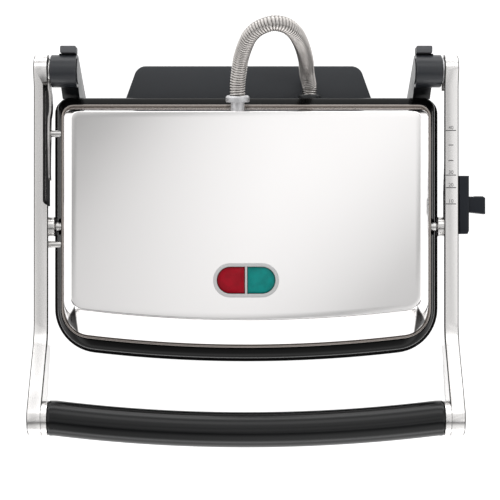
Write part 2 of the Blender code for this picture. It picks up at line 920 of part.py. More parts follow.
def arm(name, side, material, arms):
    """A bar from the hinge hub to the handle's end, kinked up and drawn in a little in front of the lid."""
    halves = [arm_hub_radius, arm_half_height, arm_half_height, arm_half_height, handle_radius]
    outline = bar_outline(arm_path(), halves, arm_end_steps)
    body = side_solid(name, [outline], side * arm_inner_x, side * arm_outer_x)
    for vert in body.data.vertices:
        forward = (arm_kink_y - vert.co.x) / (arm_kink_y - handle_y)
        vert.co.z -= side * arm_draw_in * min(max(forward, 0), 1)
    round_edges(body, arm_edge)
    join(body, rod(name + "_stub", handle_radius - seat_gap, (side * (arm_inner_x - handle_stub), handle_y, handle_z),
                   (side * (arm_inner_x + arm_edge), handle_y, handle_z), 32))
    far = side * (arm_outer_x + overrun)
    near = side * (arm_inner_x - handle_stub - overrun)
    cut(body,
        rod(name + "_axle_bore", axle_radius + seat_gap, (near, hinge_y, hinge_z), (far, hinge_y, hinge_z)),
        rod(name + "_head_bore", axle_head_radius + seat_gap,
            (side * (arm_outer_x - axle_head_thickness - seat_gap), hinge_y, hinge_z), (far, hinge_y, hinge_z)),
        rod(name + "_pivot_bore", pivot_pin_radius + seat_gap, (near, pivot_y, pivot_z),
            (side * (arm_inner_x + pivot_pin_depth + seat_gap), pivot_y, pivot_z), 20),
        rod(name + "_rod_bore", handle_rod_radius + seat_gap, (near, handle_y, handle_z),
            (side * (arm_inner_x + handle_rod_depth + seat_gap), handle_y, handle_z), 20))
    if side < 0:
        cut_lever_recess(body)
    else:
        cut_slider_channel(body)
    finish(body, material, arms)


def cut_lever_recess(body):
    """On the left: a trough for the lever, open above, and the slot of the tilt stop pin."""
    floor = hinge_z - lever_floor_drop
    hub_floor = hinge_z - lever_hub_floor_drop
    hub_front = hinge_y - lever_hub_radius - seat_gap
    rear = hinge_y + 2 * arm_hub_radius
    high = hinge_z + 2 * arm_hub_radius
    outline = [(lever_recess_front_y, high), (lever_recess_front_y, floor), (hub_front - lever_floor_slope, floor),
               (hub_front, hub_floor), (rear, hub_floor), (rear, high)]
    recess = side_solid("lever_recess", [outline], -arm_inner_x - lever_recess_depth, -arm_inner_x + overrun)
    tilt = math.radians(tilt_degrees)
    reach = pivot_y - stop_pin_y
    path = [(pivot_y - reach * math.cos(tilt * share), pivot_z - reach * math.sin(tilt * share))
            for share in (0, 0.5, 1)]
    slot = side_solid("stop_slot", [bar_outline(path, [stop_pin_radius + run_gap] * 3, 8)],
                      -arm_inner_x - stop_pin_depth - seat_gap, -arm_inner_x + overrun)
    cut(body, recess, slot)


def cut_slider_channel(body):
    """On the right: the channel of the height bar, the cam's pocket and the slot of the slider's stem."""
    half = channel_height / 2
    channel = box("bar_channel", (arm_inner_x - overrun, bar_front_y - run_gap, hinge_z - half),
                  (arm_inner_x + channel_depth, hinge_y, hinge_z + half))
    pocket = rod("cam_pocket", cam_radius + run_gap, (arm_inner_x - overrun, hinge_y, hinge_z),
                 (arm_inner_x + channel_depth, hinge_y, hinge_z), 32)
    slot_half = stem_height / 2 + run_gap
    stem_front = knob_front_y + (knob_width - stem_length) / 2
    slot = box("stem_slot", (arm_inner_x + channel_depth / 2, stem_front - run_gap, hinge_z - slot_half),
               (arm_outer_x + overrun, stem_front + stem_length + slider_travel + run_gap, hinge_z + slot_half))
    cut(body, channel, pocket, slot)


def pivot_boss(name, side, material, arms):
    outer = arm_inner_x - seat_gap
    body = rod(name, pivot_boss_radius, (side * (outer - pivot_boss_length), pivot_y, pivot_z),
               (side * outer, pivot_y, pivot_z), 24)
    round_edges(body, pivot_boss_edge, 1)
    cut(body, rod(name + "_bore", pivot_pin_radius + seat_gap,
                  (side * (outer - pivot_boss_length - overrun), pivot_y, pivot_z),
                  (side * (outer + overrun), pivot_y, pivot_z), 20))
    finish(body, material, arms)


def hinge_axle(name, side, material, frame):
    """Pin with a flush head, from the arm's outer face into the barrel."""
    head = side * arm_outer_x
    body = rod(name, axle_radius, (side * (barrel_outer_x - axle_depth + seat_gap), hinge_y, hinge_z),
               (side * (arm_outer_x - axle_head_thickness / 2), hinge_y, hinge_z), 20)
    join(body, rod(name + "_head", axle_head_radius, (side * (arm_outer_x - axle_head_thickness), hinge_y, hinge_z),
                   (head, hinge_y, hinge_z), 24))
    finish(body, material, frame)


def handle_line(reach):
    """Points of the bowed handle's centre line, with straight ends along X out to the reach."""
    half_length = arm_inner_x - handle_stub - seat_gap - handle_straight
    sweep_radius = (half_length ** 2 + handle_bow ** 2) / (2 * handle_bow)
    spread = math.asin(half_length / sweep_radius)
    centre_y = handle_y - handle_bow + sweep_radius
    bow = arc(0, centre_y, sweep_radius, -quarter - spread, -quarter + spread, handle_steps)
    points = [(-reach, handle_y)] + bow + [(reach, handle_y)]
    return [(x, y, handle_z) for x, y in points]


def handle(grip_material, rod_material, arms):
    grip_end = arm_inner_x - handle_stub - seat_gap
    points = handle_line(grip_end)
    grip = tube("handle_grip", points, [handle_radius] * len(points), 6)
    bore_points = handle_line(grip_end + overrun)
    bore = tube("rod_bore", bore_points, [handle_rod_radius + seat_gap] * len(bore_points), 2)
    cut(grip, bore)
    finish(grip, grip_material, arms)
    rod_points = handle_line(arm_inner_x + handle_rod_depth)
    finish(tube("handle_rod", rod_points, [handle_rod_radius] * len(rod_points), 2), rod_material, arms)


# Lid pieces

def lid_frame(material, lid):
    frame_loops = [
        plan_loop(inset(lid_plan, lid_frame_toe), lid_base),
        plan_loop(lid_plan, lid_base + lid_frame_toe_rise),
        plan_loop(lid_plan, lid_base + lid_frame_wall_rise),
        plan_loop(inset(lid_plan, lid_frame_shoulder), lid_base + lid_frame_shoulder_rise),
        plan_loop(inset(cover_plan, -frame_lap), frame_top),
        plan_loop(inset(cover_plan, cover_flange + cover_sheet), frame_top),
        plan_loop(grill_plan, lid_base + lid_frame_wall_rise),
        plan_loop(grill_plan, lid_base),
    ]
    body = lofted("lid_frame", frame_loops, ring=True)
    for name, side, y, radius in lid_pins:
        cut(body, rod(name + "_seat", radius + seat_gap, (side * (pin_inner_x - seat_gap), y, pivot_z),
                      (side * (lid_plan.half_width + overrun), y, pivot_z), 20))
    finish(body, material, lid)


def lid_cover(material, lid):
    """Pressed sheet: a rolled bead on the frame, steep sides with a bevel, a long front slope and a flat top."""
    slope_base = inset(cover_plan, cover_slope_tuck)
    slope_top = inset(cover_top_plan, -cover_edge_round / 2)
    inner_base = inset(cover_plan, cover_flange)
    start = cover_base + cover_slope_start
    edge = cover_top - cover_edge_round
    neck = inset(cover_plan, cover_bead_depth)
    shoulder_height = cover_top - cover_shoulder_drop
    share = (shoulder_height - start) / (edge - start)
    shoulder = Plan(*[low + (high - low) * share for low, high in zip(slope_base, slope_top)])
    shoulder = shoulder._replace(half_width=cover_plan.half_width - cover_shoulder_side_step)
    loops = [
        plan_loop(inset(cover_top_plan, cover_edge_round + cover_sheet), cover_top - cover_sheet),
        plan_loop(inset(slope_top, cover_sheet), edge - cover_sheet),
        plan_loop(inset(shoulder, cover_sheet), shoulder_height - cover_sheet),
        plan_loop(inner_base, start - cover_sheet),
        plan_loop(inner_base, cover_base),
        plan_loop(cover_plan, cover_base),
        plan_loop(cover_plan, cover_base + cover_bead_height),
        plan_loop(neck, cover_base + cover_bead_height + cover_edge_round / 2),
        plan_loop(slope_base, start),
        plan_loop(shoulder, shoulder_height),
        plan_loop(slope_top, edge),
        plan_loop(inset(cover_top_plan, cover_edge_round / 3), cover_top - cover_edge_round / 3),
        plan_loop(inset(cover_top_plan, cover_edge_round), cover_top),
    ]
    body = lofted("lid_cover", loops)
    hole = flat_solid("indicator_hole",
                      [capsule(indicator_length - indicator_face, indicator_width - indicator_face, indicator_steps)],
                      cover_top - overrun, cover_top + overrun)
    hole.location.y = indicator_y
    cut(body, hole,
        rod("nut_hole", nut_spigot_radius + seat_gap, nut_point(-overrun - nut_standoff - cover_sheet),
            nut_point(overrun), 20))
    finish(body, material, lid)


def nut_point(along):
    """A place on the nut's axis, which leans up from the lid's rear wall; zero is the flange's front."""
    height = cover_base + nut_rise
    slope_run = cover_height - cover_slope_start - cover_edge_round
    share = (nut_rise - cover_slope_start) / slope_run
    lean = cover_top_rear_step - cover_slope_tuck - cover_edge_round
    wall_y = cover_plan.rear - cover_slope_tuck - lean * share
    reach = nut_standoff + along
    return Vector((nut_x, wall_y + reach * math.cos(nut_tilt), height + reach * math.sin(nut_tilt)))


def conduit_nut(material, lid):
    profile = [
        (nut_neck_radius, nut_length),
        (nut_flange_radius, nut_flange_thickness),
        (nut_flange_radius, 0),
        (nut_spigot_radius, 0),
        (nut_spigot_radius, -nut_standoff - nut_spigot_depth),
        (conduit_bore, -nut_standoff - nut_spigot_depth),
        (conduit_bore, nut_length - nut_bore_depth),
        (conduit_radius + seat_gap, nut_length - nut_bore_depth),
        (conduit_radius + seat_gap, nut_length),
    ]
    body = turned("conduit_nut", profile, 24)
    body.location = nut_point(0)
    body.rotation_euler.x = nut_tilt - quarter
    finish(body, material, lid)


def indicator_loop(step, height):
    outline = capsule(indicator_length - 2 * step, indicator_width - 2 * step, indicator_steps)
    return [Vector((x, y + indicator_y, height)) for x, y in outline]


def indicator(bezel_material, red_material, green_material, holder_material, lid):
    """Slot-shaped bezel with two lenses and the lamp holder under them."""
    seat = cover_top + seat_gap
    top = seat + indicator_flange
    low = top - indicator_depth
    wall = indicator_face - indicator_wall
    bezel = lofted("indicator_bezel", [
        indicator_loop(0, seat),
        indicator_loop(0, top - indicator_edge),
        indicator_loop(indicator_edge, top),
        indicator_loop(indicator_face - indicator_edge, top),
        indicator_loop(indicator_face, top - indicator_edge),
        indicator_loop(indicator_face, low),
        indicator_loop(wall, low),
        indicator_loop(wall, seat),
    ], ring=True)
    bar_half = indicator_divider / 2
    reach = indicator_width / 2 - indicator_face + indicator_wall / 2
    join(bezel, box("indicator_divider_bar", (-bar_half, indicator_y - reach, low + lens_drop),
                    (bar_half, indicator_y + reach, top - indicator_edge - lens_drop)))
    finish(bezel, bezel_material, lid)
    step = indicator_face + seat_gap
    inner_x = bar_half + seat_gap
    end = arc((indicator_length - indicator_width) / 2, 0, indicator_width / 2 - step,
              -quarter, quarter, indicator_steps)
    outline = [(inner_x, end[0][1])] + end + [(inner_x, end[-1][1])]
    for name, side, material in (("red_lens", -1, red_material), ("green_lens", 1, green_material)):
        body = flat_solid(name, [[(side * x, y) for x, y in outline]], low, top - lens_drop)
        body.location.y = indicator_y
        round_edges(body, lens_drop, 1)
        finish(body, material, lid)
    half = lamp_holder_length / 2
    wide = lamp_holder_width / 2
    holder = box("lamp_holder", (-half, indicator_y - wide, low - seat_gap - lamp_holder_height),
                 (half, indicator_y + wide, low - seat_gap))
    finish(holder, holder_material, lid)


def upper_plate(material, lid):
    """Flat casting with ribs that run front to rear along its underside."""
    outer = inset(grill_plan, seat_gap)
    body = lofted("upper_plate", [
        plan_loop(inset(outer, grill_chamfer), grill_base),
        plan_loop(outer, grill_base + grill_chamfer),
        plan_loop(outer, grill_top),
    ])
    span = 2 * (grill_plan.half_width - rib_margin) - rib_base_width
    ribs_each_side = int(span / rib_pitch / 2 + half_share)
    for side in (-1, 1):
        for i in range(ribs_each_side):
            join(body, rib(side * (i + half_share) * rib_pitch))
    finish(body, material, lid)


def rib(x):
    """One rib: a bar narrower at its tip, as long as the bowed plate is deep at its place."""
    plan = inset(grill_plan, rib_margin)
    corner = plan.front_corner
    bow_drop = plan.bow - math.sqrt(plan.bow ** 2 - x ** 2)
    past = max(abs(x) - (plan.half_width - corner), 0)
    corner_drop = corner - math.sqrt(max(corner ** 2 - past ** 2, 0))
    front = bow_drop + corner_drop - plan.front
    slant = rib_height
    bm = bmesh.new()
    levels = ((grill_base + grill_chamfer, rib_base_width / 2, 0), (grill_base - rib_height, rib_tip_width / 2, slant))
    rows = []
    for height, half, draw in levels:
        corners = [(x - half, front + draw), (x + half, front + draw), (x + half, plan.rear - draw),
                   (x - half, plan.rear - draw)]
        rows.append([bm.verts.new((a, b, height)) for a, b in corners])
    for i in range(4):
        j = (i + 1) % 4
        bm.faces.new((rows[0][i], rows[0][j], rows[1][j], rows[1][i]))
    bm.faces.new(rows[0])
    bm.faces.new(rows[1])
    return add_mesh("rib", bm)


def lid_pin(name, side, y, radius, outer, material, lid):
    """Pin seated in the lid frame's side."""
    body = rod(name, radius, (side * pin_inner_x, y, pivot_z), (side * outer, y, pivot_z), 20)
    finish(body, material, lid)


# Pieces that move by themselves

def tilt_lever(material, lever):
    """Lever on the left hinge: a hub disc and a strip with a slot for the lid's pin and a hooked tip."""
    outer = -lever_plane_x - lever_sheet
    path = [(hinge_y, hinge_z), (lever_pin_y, hinge_z), (lever_tip_y, hinge_z),
            (lever_tip_y - lever_tip_half_height, hinge_z - lever_hook_drop)]
    halves = [lever_half_height, lever_half_height, lever_tip_half_height, lever_tip_half_height]
    body = side_solid("tilt_lever", [bar_outline(path, halves, 8)], -lever_plane_x, outer)
    hub = rod("lever_hub", lever_hub_radius, (-lever_plane_x + seat_gap / 3, hinge_y, hinge_z),
              (-lever_plane_x - lever_hub_thickness, hinge_y, hinge_z), 28)
    join(body, hub)
    slot_radius = lever_pin_radius + lever_slot_play
    slot_path = [(lever_pin_y + run_gap, pivot_z), (lever_pin_y - lever_slot_travel, pivot_z)]
    cut(body,
        rod("lever_bore", axle_radius + seat_gap, (-lever_plane_x + overrun, hinge_y, hinge_z),
            (-lever_plane_x - lever_hub_thickness - overrun, hinge_y, hinge_z), 20),
        side_solid("lever_slot", [bar_outline(slot_path, [slot_radius] * 2, 8)],
                   -lever_plane_x + overrun, outer - overrun))
    finish(body, material, lever)


def height_cam(material, frame):
    """Disc on the right barrel with flats at falling radii, which the height bar's end meets."""
    outline = arc(0, 0, cam_radius, -quarter, quarter, 14)
    step = 2 * quarter / cam_flats
    for i in range(cam_flats):
        radius = cam_radius - i * cam_flat_drop
        start = quarter + i * step
        outline.append((radius * math.cos(start), radius * math.sin(start)))
        outline.append((radius * math.cos(start + step), radius * math.sin(start + step)))
    distinct = [point for i, point in enumerate(outline)
                if (Vector(point) - Vector(outline[i - 1])).length > seat_gap / 3]
    near = barrel_outer_x + seat_gap
    holes = [circle(hinge_y, hinge_z, axle_radius + seat_gap)]
    placed = [(hinge_y + a, hinge_z + b) for a, b in distinct]
    finish(side_solid("height_cam", [placed] + holes, near, near + cam_thickness), material, frame)


def height_slider(material, track):
    """Plate on the right arm's outer face with its knob, and the stem through the arm's slot."""
    near = arm_outer_x + slider_gap
    far = near + slider_thickness
    half = slider_height / 2
    body = box("height_slider", (near, slider_front_y, hinge_z - half),
               (far, slider_front_y + slider_length, hinge_z + half))
    round_edges(body, slider_edge)
    knob_rear = knob_front_y + knob_width
    knob_half = knob_height / 2
    knob_outline = [(knob_front_y - knob_lean, hinge_z - knob_half), (knob_front_y, hinge_z + knob_half),
                    (knob_rear, hinge_z + knob_half), (knob_rear, hinge_z - knob_half)]
    knob = side_solid("slider_knob", [knob_outline], far - slider_edge, far + knob_length)
    round_edges(knob, slider_edge)
    stem_front = knob_front_y + (knob_width - stem_length) / 2
    stem_half = stem_height / 2
    stem = box("slider_stem", (arm_inner_x + channel_depth, stem_front, hinge_z - stem_half),
               (near + slider_edge, stem_front + stem_length, hinge_z + stem_half))
    join(body, knob, stem)
    finish(body, material, track)


def height_bar(material, track):
    """Steel bar in the arm's channel, its lower edge stepped towards the hinge."""
    far = arm_inner_x + channel_depth - seat_gap
    half = bar_height / 2
    rear_y = bar_front_y + bar_length
    outline = [(bar_front_y, hinge_z - half), (bar_front_y, hinge_z + half), (rear_y, hinge_z + half)]
    pitch = bar_length / (2 * bar_notches)
    for i in range(bar_notches):
        y = rear_y - i * pitch
        z = hinge_z - half + (bar_notches - i) * bar_notch_depth
        outline.append((y, z))
        outline.append((y - pitch, z))
    outline.append((rear_y - bar_notches * pitch, hinge_z - half))
    body = side_solid("height_bar", [outline], far - bar_sheet, far)
    finish(body, material, track)


# Conduit

def smooth_line(points, spacing):
    """Points at even steps along a Catmull-Rom curve through the given points."""
    places = [Vector(point) for point in points]
    places = [2 * places[0] - places[1]] + places + [2 * places[-1] - places[-2]]
    dense = []
    for a, b, c, d in zip(places, places[1:], places[2:], places[3:]):
        for i in range(40):
            t = i / 40
            dense.append(0.5 * (2 * b + (c - a) * t + (2 * a - 5 * b + 4 * c - d) * t ** 2
                                + (3 * b - a - 3 * c + d) * t ** 3))
    dense.append(places[-2])
    lengths = [0]
    for near, far in zip(dense, dense[1:]):
        lengths.append(lengths[-1] + (far - near).length)
    count = max(round(lengths[-1] / spacing), 2)
    line = []
    at = 0
    for step in range(count + 1):
        target = lengths[-1] * step / count
        while at < len(lengths) - 2 and lengths[at + 1] < target:
            at += 1
        share = (target - lengths[at]) / (lengths[at + 1] - lengths[at])
        line.append(dense[at].lerp(dense[at + 1], share))
    return line


def conduit_points():
    """The conduit's centre line: out of the nut, over the arch, and straight into the base's socket."""
    straight = 2 * conduit_radius
    inside = nut_length - nut_bore_depth + seat_gap
    start = nut_point(inside)
    leave = nut_point(inside + straight)
    height = rim_top - socket_drop
    stop = housing_rear_at(height + socket_radius) + seat_gap + socket_flange - socket_depth + seat_gap
    arrive = Vector((socket_x, stop + straight, height))
    end = Vector((socket_x, stop, height))
    return [start, leave] + [Vector(point) for point in conduit_route] + [arrive, end]


def conduit(material, frame):
    points = conduit_points()
    ribbed = smooth_line(points, conduit_pitch / 2)
    radii = [conduit_radius if i % 2 else conduit_valley for i in range(len(ribbed))]
    body = tube("conduit", ribbed, radii, 2)
    start = points[0] + (points[0] - points[1]).normalized() * overrun
    end = points[-1] + (points[-1] - points[-2]).normalized() * overrun
    inner_line = smooth_line([start] + points[1:-1] + [end], 2 * conduit_radius)
    cut(body, tube("conduit_bore", inner_line, [conduit_bore] * len(inner_line), 1))
    finish(body, material, frame)


def centre_over_origin(frame):
    """Move the frame so that the box round all pieces stands centred over the origin."""
    bpy.context.view_layer.update()
    depsgraph = bpy.context.evaluated_depsgraph_get()
    corners = []
    for item in bpy.data.collections["sandwich_maker"].objects:
        if item.type == "MESH":
            evaluated = item.evaluated_get(depsgraph)
            corners += [evaluated.matrix_world @ Vector(corner) for corner in evaluated.bound_box]
    low = Vector([min(corner[i] for corner in corners) for i in range(3)])
    high = Vector([max(corner[i] for corner in corners) for i in range(3)])
    middle = (low + high) / 2
    frame.location = (-middle.x, -middle.y, -low.z)
    print("frame at", tuple(frame.location), "size", tuple(high - low))


def main():
    clear_scene()
    new_collection("sandwich_maker")
    new_collection("cutters")
    gloss_black = new_material("gloss_black", (0.012, 0.012, 0.013), 0.22)
    post_plastic = new_material("post_plastic", (0.055, 0.058, 0.064), 0.5)
    grip_plastic = new_material("grip_plastic", (0.016, 0.017, 0.019), 0.42)
    slider_plastic = new_material("slider_plastic", (0.028, 0.030, 0.034), 0.45)
    foot_rubber = new_material("foot_rubber", (0.03, 0.03, 0.03), 0.85)
    grey_rubber = new_material("grey_rubber", (0.20, 0.21, 0.22), 0.75)
    arm_metal = new_material("arm_metal", (0.80, 0.79, 0.78), 0.25, 1.0)
    cover_steel = new_material("cover_steel", (0.72, 0.71, 0.70), 0.22, 1.0)
    bright_steel = new_material("bright_steel", (0.76, 0.75, 0.74), 0.28, 1.0)
    conduit_steel = new_material("conduit_steel", (0.60, 0.58, 0.56), 0.33, 1.0)
    sheet_steel = new_material("sheet_steel", (0.55, 0.55, 0.56), 0.45, 1.0)
    non_stick = new_material("non_stick", (0.022, 0.022, 0.024), 0.4)
    element_metal = new_material("element_metal", (0.28, 0.27, 0.26), 0.5, 1.0)
    white_plastic = new_material("white_plastic", (0.82, 0.82, 0.80), 0.4)
    clear_bezel = new_material("clear_bezel", (0.88, 0.88, 0.88), 0.15)
    red_plastic = new_material("red_plastic", (0.48, 0.008, 0.016), 0.15)
    green_plastic = new_material("green_plastic", (0.014, 0.36, 0.35), 0.15)

    frame = add_object("press_frame", None)
    arms = axis_empty("arms_axis", frame, (0, hinge_y, hinge_z))
    lid = axis_empty("lid_axis", arms, (0, pivot_y, pivot_z))
    lever = axis_empty("lever_axis", arms, (-lever_plane_x, hinge_y, hinge_z))
    track = axis_empty("slider_track", arms, (arm_outer_x, knob_front_y, hinge_z))

    base_housing(gloss_black, frame)
    base_bottom_cover(post_plastic, frame)
    rubber_feet(foot_rubber, frame)
    lower_plate(non_stick, frame)
    lower_back = ledge_z + seat_gap
    heating_element("lower_element", lower_back - seat_gap - element_radius, element_metal, frame)
    heat_shield("lower_heat_shield", lower_back - 2 * seat_gap - 2 * element_radius, -1, sheet_steel, frame)
    thermostat("lower_thermostat", lower_back, -1, white_plastic, frame)
    terminal_block(white_plastic, frame)
    for name, side in (("left", -1), ("right", 1)):
        hinge_post("hinge_post_" + name, side, post_plastic, frame)
        storage_foot("storage_foot_" + name, side, grey_rubber, frame)
        hinge_axle("hinge_axle_" + name, side, bright_steel, frame)
        arm(name + "_arm", side, arm_metal, arms)
        pivot_boss("pivot_boss_" + name, side, bright_steel, arms)
    cord_wrap(post_plastic, frame)
    cord_gland(post_plastic, frame)
    conduit_socket(post_plastic, frame)
    height_cam(sheet_steel, frame)
    handle(grip_plastic, bright_steel, arms)

    lid_frame(gloss_black, lid)
    lid_cover(cover_steel, lid)
    indicator(clear_bezel, red_plastic, green_plastic, white_plastic, lid)
    upper_plate(non_stick, lid)
    heating_element("upper_element", grill_top + seat_gap + element_radius, element_metal, lid)
    heat_shield("upper_heat_shield", grill_top + 2 * seat_gap + 2 * element_radius, 1, sheet_steel, lid)
    thermostat("upper_thermostat", grill_top, 1, white_plastic, lid)
    reaches = {"tilt_stop_pin": arm_inner_x + stop_pin_depth, "lever_pin": lever_plane_x + lever_sheet + seat_gap}
    for name, side, y, radius in lid_pins:
        lid_pin(name, side, y, radius, reaches.get(name, arm_inner_x + pivot_pin_depth), bright_steel, lid)
    conduit_nut(bright_steel, lid)

    tilt_lever(bright_steel, lever)
    height_slider(slider_plastic, track)
    height_bar(sheet_steel, track)
    conduit(conduit_steel, frame)
    centre_over_origin(frame)


main()
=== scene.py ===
"""Looks of a sandwich maker whose lid floats between two arms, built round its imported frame."""
import math
from collections import namedtuple

import bmesh
import bpy
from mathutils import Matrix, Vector


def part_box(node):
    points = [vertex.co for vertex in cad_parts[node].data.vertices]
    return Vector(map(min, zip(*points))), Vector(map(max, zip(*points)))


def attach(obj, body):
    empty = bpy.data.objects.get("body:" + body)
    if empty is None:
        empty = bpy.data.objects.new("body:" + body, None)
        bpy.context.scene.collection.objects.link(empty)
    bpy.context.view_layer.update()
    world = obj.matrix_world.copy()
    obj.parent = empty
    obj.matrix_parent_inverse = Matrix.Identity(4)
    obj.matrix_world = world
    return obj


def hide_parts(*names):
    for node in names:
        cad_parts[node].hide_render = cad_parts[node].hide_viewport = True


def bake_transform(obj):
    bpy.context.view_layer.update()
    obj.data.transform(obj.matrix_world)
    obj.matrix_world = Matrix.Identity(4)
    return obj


bl_info = {
    "name": "Sandwich maker looks",
    "version": (1, 0, 0),
    "blender": (4, 5, 0),
    "location": "3D View > Sidebar > Press",
    "description": "Builds the visible pieces of a sandwich maker round its frame",
    "category": "Object",
}

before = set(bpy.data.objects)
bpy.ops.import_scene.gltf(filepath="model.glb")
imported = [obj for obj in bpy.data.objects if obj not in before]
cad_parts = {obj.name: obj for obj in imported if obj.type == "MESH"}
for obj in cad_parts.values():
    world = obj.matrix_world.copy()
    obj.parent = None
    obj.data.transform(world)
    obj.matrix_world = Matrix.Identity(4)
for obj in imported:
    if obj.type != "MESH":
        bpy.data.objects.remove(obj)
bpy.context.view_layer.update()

MM = 0.001
QUARTER = math.pi / 2
WELD = 0.000002

# Outlines and heights of the press, in millimetres from its middle plane, as its solids have them
RIM = (159.0, 126.4, 92.6, 1100.0, 37.0, 13.0)
LID_STEPS = (4.0, 1.4, 3.6)
GRILL_STEP = 12.0
COVER_STEPS = (4.5, 6.5, 9.4)
COVER_CORNERS = (24.0, 10.0)
TOP_STEPS = (10.8, 8.0, 24.4)
TOP_CORNERS = (11.0, 6.0)
SHOULDER = (8.5, 3.7)
# Corners and side directions of the wedge of painted reflection at the lid's front corners.
FOLD = ((136.0, -42.8), (136.0, -42.8), (145.1, -59.0))
FOLD_SIDES = ((1.0, 0.0), (-0.828, -0.5605), (-0.734, 0.679))
TAB_X = 1.9
BASE_Z = 9.0
RIM_Z = 58.0
LEDGE_Z = 50.0
LID_Z = 61.5
FRAME_Z = 78.0
COVER_Z = 78.3
TOP_Z = 104.0
HINGE_Y = 146.3
HINGE_Z = 74.5
PIVOT_Y = 19.1
STOP_PIN_Y = 4.6
LEVER_PIN_Y = 95.1
ARM_INNER = 160.9
ARM_OUTER = 172.6
ARM_HALF = 9.5
ARM_HUB = 13.4
ARM_DRAW_IN = 1.3
BARREL_OUTER = 159.6
BARREL_RADIUS = 13.3
LEVER_PLANE = 159.9
POST_INNER = 138.1
NECK_OUTER = 152.6
HANDLE_Y = -132.5
HANDLE_BOW = 9.2
HANDLE_Z = 116.0
GRIP_RADIUS = 13.9
GRIP_END = 155.3
GRIP_STRAIGHT = 5.0
KINK_Y = -70.9
INDICATOR_Y = -24.1
LENS_X = 12.65
LENS_HALF = 10.45
NUT_PLACE = (-6.9, 117.09, 89.34)
NUT_TILT = 0.17199
SOCKET_X = 53.1
SOCKET_Z = 42.0
CONDUIT_RADIUS = 6.4
CONDUIT_ROUTE = [
    (-5.7, 143.6, 96.0), (-4.4, 151.8, 100.5), (-2.7, 157.4, 106.0), (-0.6, 162.0, 113.0), (2.7, 167.5, 121.0),
    (9.4, 172.9, 127.5), (20.2, 176.3, 131.0), (30.7, 175.4, 127.5), (38.2, 171.6, 117.5), (42.5, 167.6, 104.0),
    (45.4, 163.7, 91.0), (47.7, 159.4, 78.0), (49.4, 154.6, 66.0), (50.6, 147.5, 51.5),
]

Plan = namedtuple("Plan", "half_width rear front bow front_corner rear_corner")


def inset(plan, side, rear=None, front=None):
    """The outline drawn in at its sides, rear and front."""
    rear = side if rear is None else rear
    front = side if front is None else front
    return Plan(plan.half_width - side, plan.rear - rear, plan.front - front, plan.bow - front,
                max(plan.front_corner - front, 1.5), max(plan.rear_corner - side, 1.5))


RIM_PLAN = Plan(*RIM)
LID_PLAN = inset(RIM_PLAN, *LID_STEPS)
GRILL_PLAN = inset(LID_PLAN, GRILL_STEP)
COVER_PLAN = inset(LID_PLAN, *COVER_STEPS)._replace(front_corner=COVER_CORNERS[0], rear_corner=COVER_CORNERS[1])
TOP_PLAN = inset(COVER_PLAN, *TOP_STEPS)._replace(front_corner=TOP_CORNERS[0], rear_corner=TOP_CORNERS[1])


def press_place():
    """Where the press's middle plane meets its solids' frame, in metres."""
    middle = (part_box("left_arm")[0].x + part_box("right_arm")[1].x) / 2
    return Vector((middle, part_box("base_housing")[1].y - RIM_PLAN.rear * MM, 0))


PLACE = press_place()


# Points and outlines, in millimetres

def arc(a, b, radius, start, end, steps):
    """Points on an arc, both ends included."""
    angles = [start + (end - start) * i / steps for i in range(steps + 1)]
    return [(a + radius * math.cos(angle), b + radius * math.sin(angle)) for angle in angles]


def plan_points(plan, height):
    """Outline of the press seen from above: bowed front, round corners, straight sides and rear."""
    bow_centre = plan.bow - plan.front
    corner_x = plan.half_width - plan.front_corner
    corner_y = bow_centre - math.sqrt((plan.bow - plan.front_corner) ** 2 - corner_x ** 2)
    turn = math.atan2(corner_y - bow_centre, corner_x)
    rear_x = plan.half_width - plan.rear_corner
    rear_y = plan.rear - plan.rear_corner
    right = arc(0, bow_centre, plan.bow, -QUARTER, turn, 16)
    right += arc(corner_x, corner_y, plan.front_corner, turn, 0, 14)[1:]
    side = right[-1][1]
    right += [(plan.half_width, side + (rear_y - side) * i / 8) for i in range(1, 8)]
    right += arc(rear_x, rear_y, plan.rear_corner, 0, QUARTER, 12)
    right += [(rear_x * (1 - i / 8), plan.rear) for i in range(1, 8)]
    left = [(-x, y) for x, y in reversed(right[1:])]
    return [Vector((x, y, height)) for x, y in right + [(0, plan.rear)] + left]


def softened(levels, rounds, steps=5):
    """Levels (outline, height) with each inner one rounded off over its own distance."""
    rows = [tuple(plan) + (height,) for plan, height in levels]
    made = [rows[0]]
    for before, here, after, distance in zip(rows, rows[1:], rows[2:], rounds):
        if not distance:
            made.append(here)
            continue
        ends = []
        for other in (before, after):
            gap = math.hypot(other[1] - here[1], other[6] - here[6])
            share = min(distance / max(gap, 0.001), 0.5)
            ends.append([a + (b - a) * share for a, b in zip(here, other)])
        for i in range(steps + 1):
            t = i / steps
            made.append([(1 - t) ** 2 * a + 2 * t * (1 - t) * b + t * t * c for a, b, c in zip(ends[0], here, ends[1])])
    made.append(rows[-1])
    return [plan_points(Plan(*row[:6]), row[6]) for row in made]


def capsule(length, width, steps=16):
    """A slot outline with round ends, along X."""
    reach = (length - width) / 2
    return arc(reach, 0, width / 2, -QUARTER, QUARTER, steps) + arc(-reach, 0, width / 2, QUARTER, 3 * QUARTER, steps)


def bar_outline(path, halves, steps=14):
    """Outline of a flat bar along a path, with a half height at each point and round ends."""
    points = [Vector(point) for point in path]
    upper, lower = [], []
    for i, point in enumerate(points):
        before = (point - points[max(i - 1, 0)]).normalized()
        after = (points[min(i + 1, len(points) - 1)] - point).normalized()
        along = (before + after).normalized()
        normal = Vector((-along.y, along.x))
        upper.append(point + normal * halves[i])
        lower.append(point - normal * halves[i])
    outline = []
    for end, side in ((0, upper), (-1, lower)):
        spoke = side[end] - points[end]
        start = math.atan2(spoke.y, spoke.x)
        outline += arc(*points[end], halves[end], start, start + 2 * QUARTER, steps)
        outline += [tuple(point) for point in (lower[1:-1] if end == 0 else upper[-2:0:-1])]
    return outline


